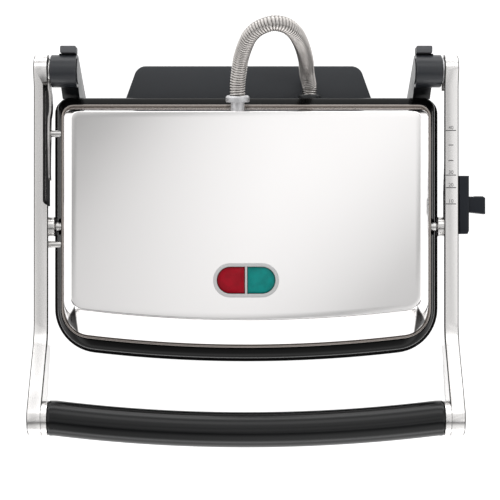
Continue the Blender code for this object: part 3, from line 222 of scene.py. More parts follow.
def bent(first, corner, last, steps=8):
    """Points round a soft bend."""
    first, corner, last = Vector(first), Vector(corner), Vector(last)
    shares = [i / steps for i in range(steps + 1)]
    return [tuple((1 - t) ** 2 * first + 2 * t * (1 - t) * corner + t * t * last) for t in shares]


def smooth_line(points, spacing):
    """Points at even steps along a curve through the given points."""
    places = [Vector(point) for point in points]
    places = [2 * places[0] - places[1]] + places + [2 * places[-1] - places[-2]]
    dense = []
    for a, b, c, d in zip(places, places[1:], places[2:], places[3:]):
        for i in range(40):
            t = i / 40
            dense.append(0.5 * (2 * b + (c - a) * t + (2 * a - 5 * b + 4 * c - d) * t ** 2
                                + (3 * b - a - 3 * c + d) * t ** 3))
    dense.append(places[-2])
    lengths = [0]
    for near, far in zip(dense, dense[1:]):
        lengths.append(lengths[-1] + (far - near).length)
    count = max(round(lengths[-1] / spacing), 2)
    line, at = [], 0
    for step in range(count + 1):
        target = lengths[-1] * step / count
        while at < len(lengths) - 2 and lengths[at + 1] < target:
            at += 1
        share = (target - lengths[at]) / (lengths[at + 1] - lengths[at])
        line.append(dense[at].lerp(dense[at + 1], share))
    return line


def round_levels(line, radius_at, segments):
    """Rings of points round a line; radius_at takes the point's number and the angle."""
    side = Vector((0, 0, 1)) if abs((line[1] - line[0]).normalized().z) < 0.9 else Vector((1, 0, 0))
    levels = []
    for i, point in enumerate(line):
        along = (line[min(i + 1, len(line) - 1)] - line[max(i - 1, 0)]).normalized()
        side = (side - along * side.dot(along)).normalized()
        other = along.cross(side)
        ring = []
        for k in range(segments):
            angle = 4 * QUARTER * k / segments
            radius = radius_at(i, angle)
            ring.append(point + (side * math.cos(angle) + other * math.sin(angle)) * radius)
        levels.append(ring)
    return levels


# Forms made with mesh operators

def new_form():
    bm = bmesh.new()
    bm.verts.layers.int.new("place")
    return bm


def first_ring(bm, points):
    """A circle moved onto the points, each vertex numbered so that its extruded copies know their place."""
    place = bm.verts.layers.int["place"]
    verts = bmesh.ops.create_circle(bm, cap_ends=False, segments=len(points), radius=1)["verts"]
    for index, (vert, point) in enumerate(zip(verts, points)):
        vert[place] = index
        vert.co = point
    return list({edge for vert in verts for edge in vert.link_edges})


def next_ring(bm, edges, points):
    """Extrude a ring onto the next points."""
    place = bm.verts.layers.int["place"]
    made = bmesh.ops.extrude_edge_only(bm, edges=edges)["geom"]
    for vert in made:
        if isinstance(vert, bmesh.types.BMVert):
            vert.co = points[vert[place]]
    return [edge for edge in made if isinstance(edge, bmesh.types.BMEdge) and edge.is_boundary]


def lofted(levels, closed=False, bm=None):
    """A form through rings of equally many points: closed on itself, or with both ends filled."""
    bm = bm or new_form()
    first = first_ring(bm, levels[0])
    last = first
    for level in levels[1:]:
        last = next_ring(bm, last, level)
    if closed:
        next_ring(bm, last, levels[0])
        bmesh.ops.remove_doubles(bm, verts=bm.verts, dist=0.0001)
    else:
        bmesh.ops.edgeloop_fill(bm, edges=first)
        bmesh.ops.edgeloop_fill(bm, edges=last)
    return bm


def bevel_edges(bm, edges, width, segments=3):
    bmesh.ops.bevel(bm, geom=edges, offset=width, offset_type="OFFSET", segments=segments, profile=0.5,
                    affect="EDGES", material=-1, clamp_overlap=True)


def sharp_edges(bm, degrees=35):
    return [edge for edge in bm.edges if len(edge.link_faces) == 2
            and edge.calc_face_angle(0) > math.radians(degrees)]


def prism(outline, move, width=0.0, segments=3):
    """A flat outline of 3D points, extruded by a vector, its two rims rounded off."""
    bm = new_form()
    face = bmesh.ops.edgeloop_fill(bm, edges=first_ring(bm, outline))["faces"]
    made = bmesh.ops.extrude_face_region(bm, geom=face)["geom"]
    bmesh.ops.translate(bm, verts=[v for v in made if isinstance(v, bmesh.types.BMVert)], vec=move)
    bmesh.ops.recalc_face_normals(bm, faces=bm.faces)
    if width:
        along = Vector(move).normalized()
        rims = [edge for edge in bm.edges
                if abs((edge.verts[0].co - edge.verts[1].co).normalized().dot(along)) < 0.5]
        bevel_edges(bm, rims, width, segments)
    return bm


def side_prism(outline, near_x, far_x, width=0.0, segments=3):
    """An outline (y, z) between two places along X."""
    return prism([Vector((near_x, y, z)) for y, z in outline], (far_x - near_x, 0, 0), width, segments)


def flat_prism(outline, low, high, width=0.0, segments=3):
    """An outline (x, y) between two heights."""
    return prism([Vector((x, y, low)) for x, y in outline], (0, 0, high - low), width, segments)


def block(low, high, width=0.0, segments=3):
    """A block between two corners, rounded off on every edge."""
    bm = new_form()
    bmesh.ops.create_cube(bm, size=1)
    low, high = Vector(low), Vector(high)
    bmesh.ops.scale(bm, vec=high - low, verts=bm.verts)
    bmesh.ops.translate(bm, vec=(low + high) / 2, verts=bm.verts)
    if width:
        bevel_edges(bm, list(bm.edges), width, segments)
    return bm


def turned(profile, start, direction, segments=48, closed=False):
    """A turned form: rings of (radius, distance) along a direction from a start."""
    start, along = Vector(start), Vector(direction).normalized()
    side = along.orthogonal().normalized()
    other = along.cross(side)
    levels = []
    for radius, distance in profile:
        angles = [4 * QUARTER * k / segments for k in range(segments)]
        levels.append([start + along * distance + (side * math.cos(a) + other * math.sin(a)) * radius for a in angles])
    return lofted(levels, closed)


def curved_profile(points, distance, steps=3):
    """A (radius, distance) profile with its inner corners rounded off."""
    made = [points[0]]
    for before, here, after in zip(points, points[1:], points[2:]):
        ends = []
        for other in (before, after):
            gap = math.hypot(other[0] - here[0], other[1] - here[1])
            share = min(distance / max(gap, 0.001), 0.5)
            ends.append((here[0] + (other[0] - here[0]) * share, here[1] + (other[1] - here[1]) * share))
        made += bent(ends[0], here, ends[1], steps)
    return made + [points[-1]]


def pin_profile(radius, length, round_off=0.5):
    """Profile of a pin with rounded ends, closed at its axis by the end faces."""
    return curved_profile([(radius - round_off * 1.5, 0), (radius, 0), (radius, length),
                           (radius - round_off * 1.5, length)], round_off)


def merged(*forms):
    """One form out of several that touch or overlap."""
    whole = forms[0]
    for form in forms[1:]:
        carrier = bpy.data.meshes.new("carrier")
        form.to_mesh(carrier)
        form.free()
        whole.from_mesh(carrier)
        bpy.data.meshes.remove(carrier)
    return whole


def mirrored(bm):
    """The form turned over to the press's left side."""
    bmesh.ops.scale(bm, vec=(-1, 1, 1), verts=bm.verts)
    return bm


def make_object(name, bm):
    """An object from a form in millimetres, set in its place in metres."""
    bmesh.ops.remove_doubles(bm, verts=bm.verts, dist=0.0005)
    bmesh.ops.recalc_face_normals(bm, faces=bm.faces)
    bmesh.ops.scale(bm, vec=(MM, MM, MM), verts=bm.verts)
    bmesh.ops.translate(bm, vec=PLACE, verts=bm.verts)
    mesh = bpy.data.meshes.new(name)
    bm.to_mesh(mesh)
    bm.free()
    made = bpy.data.objects.new(name, mesh)
    bpy.context.scene.collection.objects.link(made)
    return made


def carved(piece, forms, operation="DIFFERENCE"):
    """Cut forms out of a piece, or join them to it, and keep only the result."""
    for form in forms:
        tool = make_object("tool", form)
        modifier = piece.modifiers.new("carve", "BOOLEAN")
        modifier.operation = operation
        modifier.object = tool
        for solver in ("MANIFOLD", "EXACT"):
            modifier.solver = solver
            bpy.context.view_layer.update()
            result = bpy.data.meshes.new_from_object(piece.evaluated_get(bpy.context.evaluated_depsgraph_get()))
            if result.polygons:
                break
        piece.modifiers.clear()
        piece.data = result
        bpy.data.objects.remove(tool)
    return piece


def settle(piece, material, body, nodes=(), degrees=35):
    """Shade a piece, give it its material and hang it on its body in place of its solids."""
    piece.data.materials.clear()
    piece.data.materials.append(material)
    piece.data.shade_smooth()
    piece.data.set_sharp_from_angle(angle=math.radians(degrees))
    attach(piece, body)
    if nodes:
        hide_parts(*nodes)
    return piece


def piece(name, bm, material, body, nodes=(), slot=None, degrees=35):
    return settle(make_object(name, bm), material, body, nodes, degrees)


def refined(node, name, material, body, width, segments=2, degrees=35):
    """A solid's own shape with its doubles merged and its edges rounded off."""
    bm = bmesh.new()
    bm.from_mesh(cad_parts[node].data)
    bmesh.ops.remove_doubles(bm, verts=bm.verts, dist=WELD)
    bmesh.ops.dissolve_limit(bm, angle_limit=math.radians(1), verts=bm.verts, edges=bm.edges)
    bevel_edges(bm, sharp_edges(bm), width * MM, segments)
    mesh = bpy.data.meshes.new(name)
    bm.to_mesh(mesh)
    bm.free()
    made = bpy.data.objects.new(name, mesh)
    bpy.context.scene.collection.objects.link(made)
    return settle(made, material, body, [node], degrees)


def dress(node, material):
    """Give a solid that stays its finished material."""
    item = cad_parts[node]
    item.data.materials.clear()
    item.data.materials.append(material)


# Materials

def node_of(tree, kind, **values):
    made = tree.nodes.new(kind)
    for key, value in values.items():
        setattr(made, key, value)
    return made


def noise(tree, vector, scale, detail=3.0, roughness=0.55):
    made = node_of(tree, "ShaderNodeTexNoise")
    made.inputs["Scale"].default_value = scale
    made.inputs["Detail"].default_value = detail
    made.inputs["Roughness"].default_value = roughness
    tree.links.new(vector, made.inputs["Vector"])
    return made.outputs["Fac"]


def ranged(tree, value, low, high, start=0.3, stop=0.7):
    made = node_of(tree, "ShaderNodeMapRange", interpolation_type="SMOOTHSTEP")
    for socket, number in (("From Min", start), ("From Max", stop), ("To Min", low), ("To Max", high)):
        made.inputs[socket].default_value = number
    tree.links.new(value, made.inputs["Value"])
    return made.outputs["Result"]


def mixed(tree, factor, first, second):
    """A colour between two; each is a colour or a socket."""
    made = node_of(tree, "ShaderNodeMix", data_type="RGBA")
    tree.links.new(factor, made.inputs["Factor"])
    for socket, value in ((made.inputs[6], first), (made.inputs[7], second)):
        if isinstance(value, bpy.types.NodeSocket):
            tree.links.new(value, socket)
        else:
            socket.default_value = (*value, 1.0)
    return made.outputs[2]


def tinted(colour, amount):
    return tuple(min(channel * amount, 1.0) for channel in colour)


def finish(name, colour, roughness, metallic=0.0, vary=0.05, tint=0.06, patch=14.0, grain=900.0,
           grain_depth=0.00001, stretch=(1, 1, 1), coat=0.0, ior=1.5, groove=None):
    """A finish with patches in its roughness and colour and a grain in its surface.
    With a groove colour, the piece's groove attribute darkens its valleys towards that colour, as painted shade."""
    made = bpy.data.materials.new(name)
    made.use_nodes = True
    tree = made.node_tree
    shader = tree.nodes["Principled BSDF"]
    shader.inputs["Metallic"].default_value = metallic
    shader.inputs["IOR"].default_value = ior
    shader.inputs["Coat Weight"].default_value = coat
    shader.inputs["Coat Roughness"].default_value = 0.08
    place = node_of(tree, "ShaderNodeTexCoord").outputs["Object"]
    mapping = node_of(tree, "ShaderNodeMapping")
    mapping.inputs["Scale"].default_value = stretch
    tree.links.new(place, mapping.inputs["Vector"])
    patches = noise(tree, place, patch, 4.0)
    fine = noise(tree, mapping.outputs["Vector"], grain, 2.0)
    tone = mixed(tree, ranged(tree, patches, 0.0, 1.0), tinted(colour, 1 - tint), tinted(colour, 1 + tint))
    # Painted shade: the groove attribute darkens the colour towards the groove colour.
    if groove:
        attribute = node_of(tree, "ShaderNodeAttribute", attribute_name="groove")
        tone = mixed(tree, attribute.outputs["Fac"], tone, groove)
    tree.links.new(tone, shader.inputs["Base Color"])
    both = node_of(tree, "ShaderNodeMath", operation="MULTIPLY_ADD")
    both.inputs[1].default_value = 0.35
    tree.links.new(fine, both.inputs[0])
    tree.links.new(patches, both.inputs[2])
    rough = ranged(tree, both.outputs[0], max(roughness - vary, 0.02), roughness + vary, 0.45, 0.9)
    tree.links.new(rough, shader.inputs["Roughness"])
    bump = node_of(tree, "ShaderNodeBump")
    bump.inputs["Strength"].default_value = 0.5
    bump.inputs["Distance"].default_value = grain_depth
    tree.links.new(fine, bump.inputs["Height"])
    tree.links.new(bump.outputs["Normal"], shader.inputs["Normal"])
    return made


MATERIALS = {}


def build_materials(colours):
    """Every finish of the press, from the colours of its panel."""
    MATERIALS.update({
        # Painted shade and reflection: the cover darkens towards the bead colour at its foot.
        "cover_steel": finish("cover_steel_satin", colours.cover, 0.14, 1.0, vary=0.02, tint=0.015, patch=7.0,
                              grain=2600.0, grain_depth=0.000004, groove=colours.bead),
        "arm_metal": finish("arm_metal_satin", colours.arm, 0.24, 1.0, vary=0.03, tint=0.015, patch=9.0,
                            grain=2400.0, grain_depth=0.000004, stretch=(3, 0.3, 3)),
        "bright_steel": finish("bright_steel_turned", colours.bright, 0.22, 1.0, vary=0.06, tint=0.05,
                               grain=700.0, grain_depth=0.00001, stretch=(0.6, 6, 6)),
        "lever_steel": finish("lever_steel_pressed", colours.lever, 0.3, 1.0, vary=0.06, tint=0.06,
                              grain=600.0, grain_depth=0.00001, stretch=(6, 0.5, 6)),
        # Painted shade: the conduit's valleys darken towards this groove colour.
        "conduit_steel": finish("conduit_steel_ribbed", colours.conduit, 0.3, 1.0, vary=0.05, tint=0.04,
                                grain=900.0, groove=(0.10, 0.09, 0.085)),
        "gloss_black": finish("gloss_black_moulded", colours.gloss_black, 0.14, vary=0.03, tint=0.12,
                              grain=420.0, grain_depth=0.000004, ior=1.18),
        "grip": finish("grip_satin_black", colours.grip, 0.2, vary=0.02, tint=0.08, grain=2200.0,
                       grain_depth=0.000006, ior=1.4),
        "post": finish("post_satin_grey", colours.post, 0.34, vary=0.05, tint=0.08, grain=1800.0,
                       grain_depth=0.00003),
        "neck": finish("neck_dark_plastic", colours.neck, 0.35, vary=0.05, tint=0.1, grain=1800.0,
                       grain_depth=0.00002),
        "tab": finish("tab_slate_plastic", colours.tab, 0.42, vary=0.04, tint=0.07, grain=1500.0,
                      grain_depth=0.00003),
        "slider": finish("slider_satin_black", colours.slider, 0.38, vary=0.05, tint=0.08, grain=1700.0,
                         grain_depth=0.00003, ior=1.33),
        "grey_rubber": finish("grey_rubber_block", colours.grey_rubber, 0.62, vary=0.06, tint=0.08,
                              grain=1400.0, grain_depth=0.00005),
        "foot_rubber": finish("foot_rubber_black", (0.03, 0.03, 0.031), 0.72, vary=0.08, tint=0.15,
                              grain=1200.0, grain_depth=0.00006),
        "non_stick": finish("non_stick_coating", (0.021, 0.021, 0.022), 0.38, vary=0.06, tint=0.15,
                            grain=1300.0, grain_depth=0.00004),
        "sheet_steel": finish("sheet_steel_plain", (0.55, 0.55, 0.56), 0.42, 1.0, vary=0.08, tint=0.06,
                              grain=500.0, stretch=(1, 8, 1)),
        "element": finish("element_sheath", (0.25, 0.24, 0.23), 0.5, 1.0, vary=0.08, tint=0.12),
        "white_plastic": finish("white_heatproof_plastic", (0.80, 0.80, 0.77), 0.42, tint=0.03),
        "bezel": finish("bezel_clear_gloss", colours.bezel, 0.12, vary=0.03, tint=0.02, coat=0.5),
        "red_lens": lens_finish("red_lens_gloss", colours.red_lens),
        "green_lens": lens_finish("green_lens_gloss", colours.green_lens),
        "ink": finish("mark_ink", (0.07, 0.07, 0.075), 0.5, vary=0.05, tint=0.1),
    })
    painted_fold_reflection(MATERIALS["cover_steel"])
    painted_edge_shade(MATERIALS["arm_metal"])


def painted_fold_reflection(material):
    """Painted reflection at the two front corners, between the side's bevel and the front slope: a dark wedge standing
    in for the black frame's reflection in the fold.
    """
    tree = material.node_tree
    shader = tree.nodes["Principled BSDF"]
    tone = shader.inputs["Base Color"].links[0].from_socket
    place = node_of(tree, "ShaderNodeSeparateXYZ")
    tree.links.new(node_of(tree, "ShaderNodeTexCoord").outputs["Object"], place.inputs[0])
    shifted = node_of(tree, "ShaderNodeMath", operation="SUBTRACT")
    shifted.inputs[1].default_value = PLACE.x
    tree.links.new(place.outputs["X"], shifted.inputs[0])
    aside = node_of(tree, "ShaderNodeMath", operation="ABSOLUTE")
    tree.links.new(shifted.outputs[0], aside.inputs[0])
    spot = node_of(tree, "ShaderNodeCombineXYZ")
    tree.links.new(aside.outputs[0], spot.inputs["X"])
    tree.links.new(place.outputs["Y"], spot.inputs["Y"])
    inside = None
    for corner, direction in zip(FOLD, FOLD_SIDES):
        start = Vector((corner[0] * MM, corner[1] * MM + PLACE.y, 0))
        reach = along(tree, spot.outputs[0], (*direction, 0))
        past = node_of(tree, "ShaderNodeMath", operation="SUBTRACT")
        past.inputs[1].default_value = start.dot(Vector((*direction, 0)))
        tree.links.new(reach, past.inputs[0])
        inside = together(tree, "MINIMUM", inside, past.outputs[0]) if inside else past.outputs[0]
    # Painted reflection: the wedge between these sides turns nearly black.
    tone = mixed(tree, ranged(tree, inside, 0.0, 0.985, -0.0004, 0.0012), tone, (0.012, 0.011, 0.011))
    tree.links.new(tone, shader.inputs["Base Color"])


def painted_edge_shade(material):
    """Painted shade on the long edges: the colour darkens where the metal's rounding leans to the side."""
    tree = material.node_tree
    shader = tree.nodes["Principled BSDF"]
    tone = shader.inputs["Base Color"].links[0].from_socket
    normal = node_of(tree, "ShaderNodeTexCoord").outputs["Normal"]
    aside = node_of(tree, "ShaderNodeMath", operation="ABSOLUTE")
    tree.links.new(along(tree, normal, (1, 0, 0)), aside.inputs[0])
    rise = ranged(tree, aside.outputs[0], 0.0, 1.0, 0.1, 0.35)
    fall = ranged(tree, aside.outputs[0], 1.0, 0.0, 0.95, 0.999)
    # Painted shade: the leaning rounding turns towards near black.
    tone = mixed(tree, together(tree, "MULTIPLY", rise, fall), tone, (0.06, 0.059, 0.057))
    tree.links.new(tone, shader.inputs["Base Color"])


def lens_finish(name, colour):
    """Tinted gloss plastic, paler in its middle and darker towards its rim and the divider as painted shade, with fine
    facets seen through its face.
    """
    made = finish(name, colour, 0.1, vary=0.03, tint=0.12, patch=160.0, grain=600.0, grain_depth=0.00001, ior=1.22)
    tree = made.node_tree
    shader = tree.nodes["Principled BSDF"]
    tone = shader.inputs["Base Color"].links[0].from_socket
    # Painted shade: the groove attribute darkens the lens towards its rim and the divider.
    attribute = node_of(tree, "ShaderNodeAttribute", attribute_name="groove")
    deep = mixed(tree, attribute.outputs["Fac"], tone, tinted(colour, 0.3))
    tree.links.new(deep, shader.inputs["Base Color"])
    return made


def mark_painted_shade(item, value_of):
    """Store, in the groove attribute, how much painted shade each vertex gets, from its place in millimetres."""
    attribute = item.data.attributes.new("groove", "FLOAT", "POINT")
    for vert, entry in zip(item.data.vertices, attribute.data):
        entry.value = value_of((vert.co - PLACE) / MM)


# Settings shown in the panel

def length(name, description, default):
    return bpy.props.FloatProperty(name=name, description=description, default=default * MM, unit="LENGTH",
                                   precision=4, min=0)


def colour_of(name, description, default):
    return bpy.props.FloatVectorProperty(name=name, description=description, default=default, subtype="COLOR",
                                         size=3, min=0, max=1)


class PressSizes(bpy.types.PropertyGroup):
    """Sizes of the press's fine shapes."""
    top_round: length("Top edge", "Rounding of the lid's top edge", 0.7)
    foot_round: length("Slope foot", "Rounding where the lid's slope meets its bead", 1.0)
    arm_round: length("Arm edge", "Rounding of the arms' long edges", 1.1)
    barrel_round: length("Barrel edge", "Rounding of the hinge barrels' ends", 1.4)
    tab_round: length("Tab edge", "Rounding of the cord tab's rim", 1.2)
    rib_pitch: length("Conduit pitch", "Distance between two ribs of the conduit", 2.2)
    rib_depth: length("Conduit groove", "Depth of the conduit's grooves", 0.85)
    mark_height: length("Number height", "Height of the numbers on the right arm", 4.2)


class PressColours(bpy.types.PropertyGroup):
    """Colours of the press's finishes."""
    cover: colour_of("Lid", "Pressed steel of the lid", (0.90, 0.885, 0.88))
    # Painted shade and reflection: the bead colour darkens the lid's steel at its foot, standing in for the black
    # frame's reflection in the bead.
    bead: colour_of("Bead", "Rolled bead round the lid's foot, in the frame's shade", (0.30, 0.27, 0.25))
    arm: colour_of("Arms", "Metal of the arms", (0.79, 0.775, 0.765))
    bright: colour_of("Pins", "Turned steel of pins, bosses and nut", (0.62, 0.61, 0.60))
    lever: colour_of("Lever", "Pressed steel of the tilt lever", (0.62, 0.61, 0.60))
    conduit: colour_of("Conduit", "Steel of the ribbed conduit", (0.56, 0.535, 0.515))
    gloss_black: colour_of("Rim", "Gloss black of base and lid frame", (0.003, 0.003, 0.003))
    grip: colour_of("Grip", "Satin black of the handle", (0.0045, 0.0048, 0.0055))
    post: colour_of("Hinge barrels", "Satin grey of the hinge barrels", (0.028, 0.031, 0.037))
    neck: colour_of("Hinge necks", "Dark plastic of the necks under the barrels", (0.016, 0.017, 0.019))
    tab: colour_of("Cord tab", "Slate grey of the cord tab", (0.040, 0.044, 0.051))
    slider: colour_of("Slider", "Satin black of the height slider", (0.010, 0.013, 0.019))
    grey_rubber: colour_of("Rear feet", "Grey blocks behind the posts", (0.16, 0.165, 0.175))
    bezel: colour_of("Bezel", "Frame of the two lenses", (0.86, 0.86, 0.86))
    red_lens: colour_of("Red lens", "Left lens of the indicator", (0.50, 0.006, 0.022))
    green_lens: colour_of("Green lens", "Right lens of the indicator", (0.010, 0.36, 0.33))


def sizes():
    return bpy.context.scene.press_sizes


# Lid

class PRESS_OT_cover(bpy.types.Operator):
    """Pressed steel cover: rolled bead, steep sides, wide front slope and flat top"""
    bl_idname = "press.cover"
    bl_label = "Lid cover"

    def execute(self, context):
        edge = sizes().top_round / MM
        foot = sizes().foot_round / MM
        slope_foot = inset(COVER_PLAN, 2.5)
        share = (TOP_Z - SHOULDER[0] - COVER_Z - 3.4) / (TOP_Z - COVER_Z - 3.4)
        shoulder = Plan(*[low + (high - low) * share for low, high in zip(slope_foot, TOP_PLAN)])
        shoulder = shoulder._replace(half_width=COVER_PLAN.half_width - SHOULDER[1])
        levels = [
            (inset(TOP_PLAN, 6.0), TOP_Z - 1.2),
            (inset(TOP_PLAN, 1.2), TOP_Z - 1.2),
            (inset(shoulder, 1.2), TOP_Z - SHOULDER[0] - 1.2),
            (inset(COVER_PLAN, 3.8), COVER_Z + 3.3),
            (inset(COVER_PLAN, 3.8), COVER_Z),
            (COVER_PLAN, COVER_Z),
            (COVER_PLAN, COVER_Z + 1.9),
            (inset(COVER_PLAN, 1.7), COVER_Z + 1.9),
            (inset(COVER_PLAN, 1.9), COVER_Z + 0.9),
            (slope_foot, COVER_Z + 1.2),
            (slope_foot, COVER_Z + 3.4),
            (shoulder, TOP_Z - SHOULDER[0]),
            (TOP_PLAN, TOP_Z),
            (inset(TOP_PLAN, 5.0), TOP_Z),
            (inset(TOP_PLAN, 12.0), TOP_Z),
        ]
        rounds = (0.6, 0.6, 0.6, 0.3, 0.3, 0.85, 0.85, 0.3, 0.3, foot, 1.5, edge, 0.0)
        made = make_object("cover_sheet", lofted(softened(levels, rounds, 6)))
        hole = flat_prism([(x, y + INDICATOR_Y) for x, y in capsule(49.6, 24.3)], TOP_Z - 4, TOP_Z + 2)
        nut_hole = turned([(5.7, -9), (5.7, 6)], NUT_PLACE, nut_axis(), 32)
        carved(made, [hole, nut_hole])
        settle(made, MATERIALS["cover_steel"], "lid", ["lid_cover"], 28)
        # Painted shade and reflection: the steel at the cover's foot, up to COVER_Z + 3.5, turns towards the bead
        # colour, standing in for the black frame's reflection in the bead.
        mark_painted_shade(made, lambda place: min(max((COVER_Z + 3.5 - place.z) / 1.5, 0), 1))
        return {"FINISHED"}


class PRESS_OT_lid_frame(bpy.types.Operator):
    """Gloss black frame round the upper plate"""
    bl_idname = "press.lid_frame"
    bl_label = "Lid frame"

    def execute(self, context):
        levels = [
            (inset(LID_PLAN, 6.0), LID_Z),
            (inset(LID_PLAN, 1.6), LID_Z),
            (LID_PLAN, LID_Z + 2.4),
            (LID_PLAN, LID_Z + 9.0),
            (inset(LID_PLAN, 2.0), LID_Z + 12.0),
            (inset(COVER_PLAN, -0.5), FRAME_Z),
            (inset(COVER_PLAN, 5.0), FRAME_Z),
            (GRILL_PLAN, LID_Z + 9.0),
            (GRILL_PLAN, LID_Z + 0.6),
            (inset(GRILL_PLAN, -0.6), LID_Z),
            (inset(LID_PLAN, 6.2), LID_Z),
        ]
        rounds = (1.2, 1.6, 3.0, 2.4, 0.5, 0.3, 0.3, 0.2, 0.2)
        piece("lid_rim", lofted(softened(levels, rounds), closed=True), MATERIALS["gloss_black"], "lid",
              ["lid_frame"], "gloss_black")
        return {"FINISHED"}


class PRESS_OT_indicator(bpy.types.Operator):
    """Slot-shaped bezel with a red and a green lens"""
    bl_idname = "press.indicator"
    bl_label = "Indicator"

    def execute(self, context):
        profile = curved_profile([(3.0, -5.0), (3.0, 1.4), (0.0, 1.4), (0.0, 0.1), (1.9, 0.1), (1.9, -5.0)], 0.6, 5)
        levels = [[Vector((x, y + INDICATOR_Y, TOP_Z + height))
                   for x, y in capsule(52.8 - 2 * step, 27.5 - 2 * step)] for step, height in profile]
        divider = block((-0.9, INDICATOR_Y - 11.6, TOP_Z - 4.4), (0.9, INDICATOR_Y + 11.6, TOP_Z + 1.0), 0.3)
        piece("lens_frame", merged(lofted(levels, closed=True), divider), MATERIALS["bezel"], "lid",
              ["indicator_bezel"], "clear_bezel")
        for name, node, side, slot in (("lens_left", "red_lens", -1, "red_plastic"),
                                       ("lens_right", "green_lens", 1, "green_plastic")):
            self.lens(name, node, side, slot)
        return {"FINISHED"}

    def lens(self, name, node, side, slot):
        """One lens: half a slot with a soft crown."""
        def outline(step):
            half = LENS_HALF - step
            end = arc(LENS_X, 0, half, -QUARTER, QUARTER, 20)
            flat = [(1.2 + step, half - 2 * half * i / 10) for i in range(11)]
            return [(side * x, y + INDICATOR_Y) for x, y in end + flat]
        rows = [(0.0, -4.2), (0.0, 0.55), (0.25, 0.85), (0.7, 1.0), (1.6, 1.12), (3.4, 1.22), (6.0, 1.28)]
        levels = [[Vector((x, y, TOP_Z + height)) for x, y in outline(step)] for step, height in rows]
        made = piece(name, lofted(levels), MATERIALS[node], "lid", [node], slot)

        # Painted shade: the value rises towards the lens's rim and near the divider.
        def depth(place):
            x = abs(place.x)
            y = abs(place.y - INDICATOR_Y)
            outside = math.hypot(max(x - LENS_X, 0), y)
            rim = min(max((outside - LENS_HALF + 2.0) / 2.0, 0), 1)
            return max(rim, min(max(2.2 - x, 0), 1)) * 0.8
        mark_painted_shade(made, depth)


class PRESS_OT_plates(bpy.types.Operator):
    """Flat lower plate with its bead and channel, and ribbed upper plate"""
    bl_idname = "press.plates"
    bl_label = "Cooking plates"

    def execute(self, context):
        levels = [
            (inset(RIM_PLAN, 12.0), LEDGE_Z + 0.3),
            (inset(RIM_PLAN, 8.3), LEDGE_Z + 0.3),
            (inset(RIM_PLAN, 7.5), LEDGE_Z + 1.1),
            (inset(RIM_PLAN, 7.5), RIM_Z + 1.2),
            (inset(RIM_PLAN, 10.9), RIM_Z + 1.2),
            (inset(RIM_PLAN, 11.8), RIM_Z - 2.0),
            (inset(RIM_PLAN, 17.0), RIM_Z - 2.0),
            (inset(RIM_PLAN, 18.6), RIM_Z - 0.7),
            (inset(RIM_PLAN, 30.0), RIM_Z - 0.7),
        ]
        rounds = (0.4, 0.4, 1.0, 1.0, 1.2, 1.4, 1.0)
        piece("flat_plate", lofted(softened(levels, rounds)), MATERIALS["non_stick"], "base",
              ["lower_plate"], "non_stick")
        refined("upper_plate", "ribbed_plate", MATERIALS["non_stick"], "lid", 0.35)
        return {"FINISHED"}


# Base

def housing_inset(height):
    """How far the housing's wall stands in from the rim at a height."""
    side = [(11.0, 9.0), (8.5, 12.0), (5.0, 30.0), (3.6, 46.0), (0.0, 52.0), (0.0, 56.6), (1.4, 58.0)]
    for (low_step, low), (high_step, high) in zip(side, side[1:]):
        if height <= high:
            return low_step + (high_step - low_step) * max(height - low, 0) / (high - low)
    return 0.0


class PRESS_OT_base(bpy.types.Operator):
    """Gloss black housing, its bottom cover and its rubber feet"""
    bl_idname = "press.base"
    bl_label = "Base"

    def execute(self, context):
        levels = [
            (inset(RIM_PLAN, 13.0), BASE_Z),
            (inset(RIM_PLAN, 11.0), BASE_Z),
            (inset(RIM_PLAN, 8.5), BASE_Z + 3.0),
            (inset(RIM_PLAN, 5.0), BASE_Z + 21.0),
            (inset(RIM_PLAN, 3.6), RIM_Z - 12.0),
            (RIM_PLAN, RIM_Z - 6.0),
            (RIM_PLAN, RIM_Z),
            (inset(RIM_PLAN, 7.0), RIM_Z),
            (inset(RIM_PLAN, 7.0), LEDGE_Z),
            (inset(RIM_PLAN, 12.0), LEDGE_Z),
            (inset(RIM_PLAN, 12.0), LEDGE_Z - 2.5),
            (inset(RIM_PLAN, 6.6), RIM_Z - 14.5),
            (inset(RIM_PLAN, 8.0), BASE_Z + 21.0),
            (inset(RIM_PLAN, 14.0), BASE_Z + 0.2),
        ]
        rounds = (0.6, 2.0, 6.0, 3.0, 2.5, 1.6, 0.8, 0.3, 0.3, 0.3, 0.5, 1.0)
        made = make_object("base_wall", lofted(softened(levels, rounds), closed=True))
        rear = RIM_PLAN.rear
        carved(made, [
            turned([(8.5, -20), (8.5, 5)], (SOCKET_X, rear, SOCKET_Z), (0, 1, 0), 32),
            turned([(5.3, -20), (5.3, 5)], (-85.0, rear, BASE_Z + 7.0), (0, 1, 0), 24),
        ])
        settle(made, MATERIALS["gloss_black"], "base", ["base_housing"], 30)
        refined("base_bottom_cover", "bottom_cover", MATERIALS["neck"], "base", 0.5)
        for place in ("front_left", "front_right", "rear_left", "rear_right"):
            refined("foot_" + place, "table_foot_" + place, MATERIALS["foot_rubber"], "base", 0.8, 3)
        return {"FINISHED"}


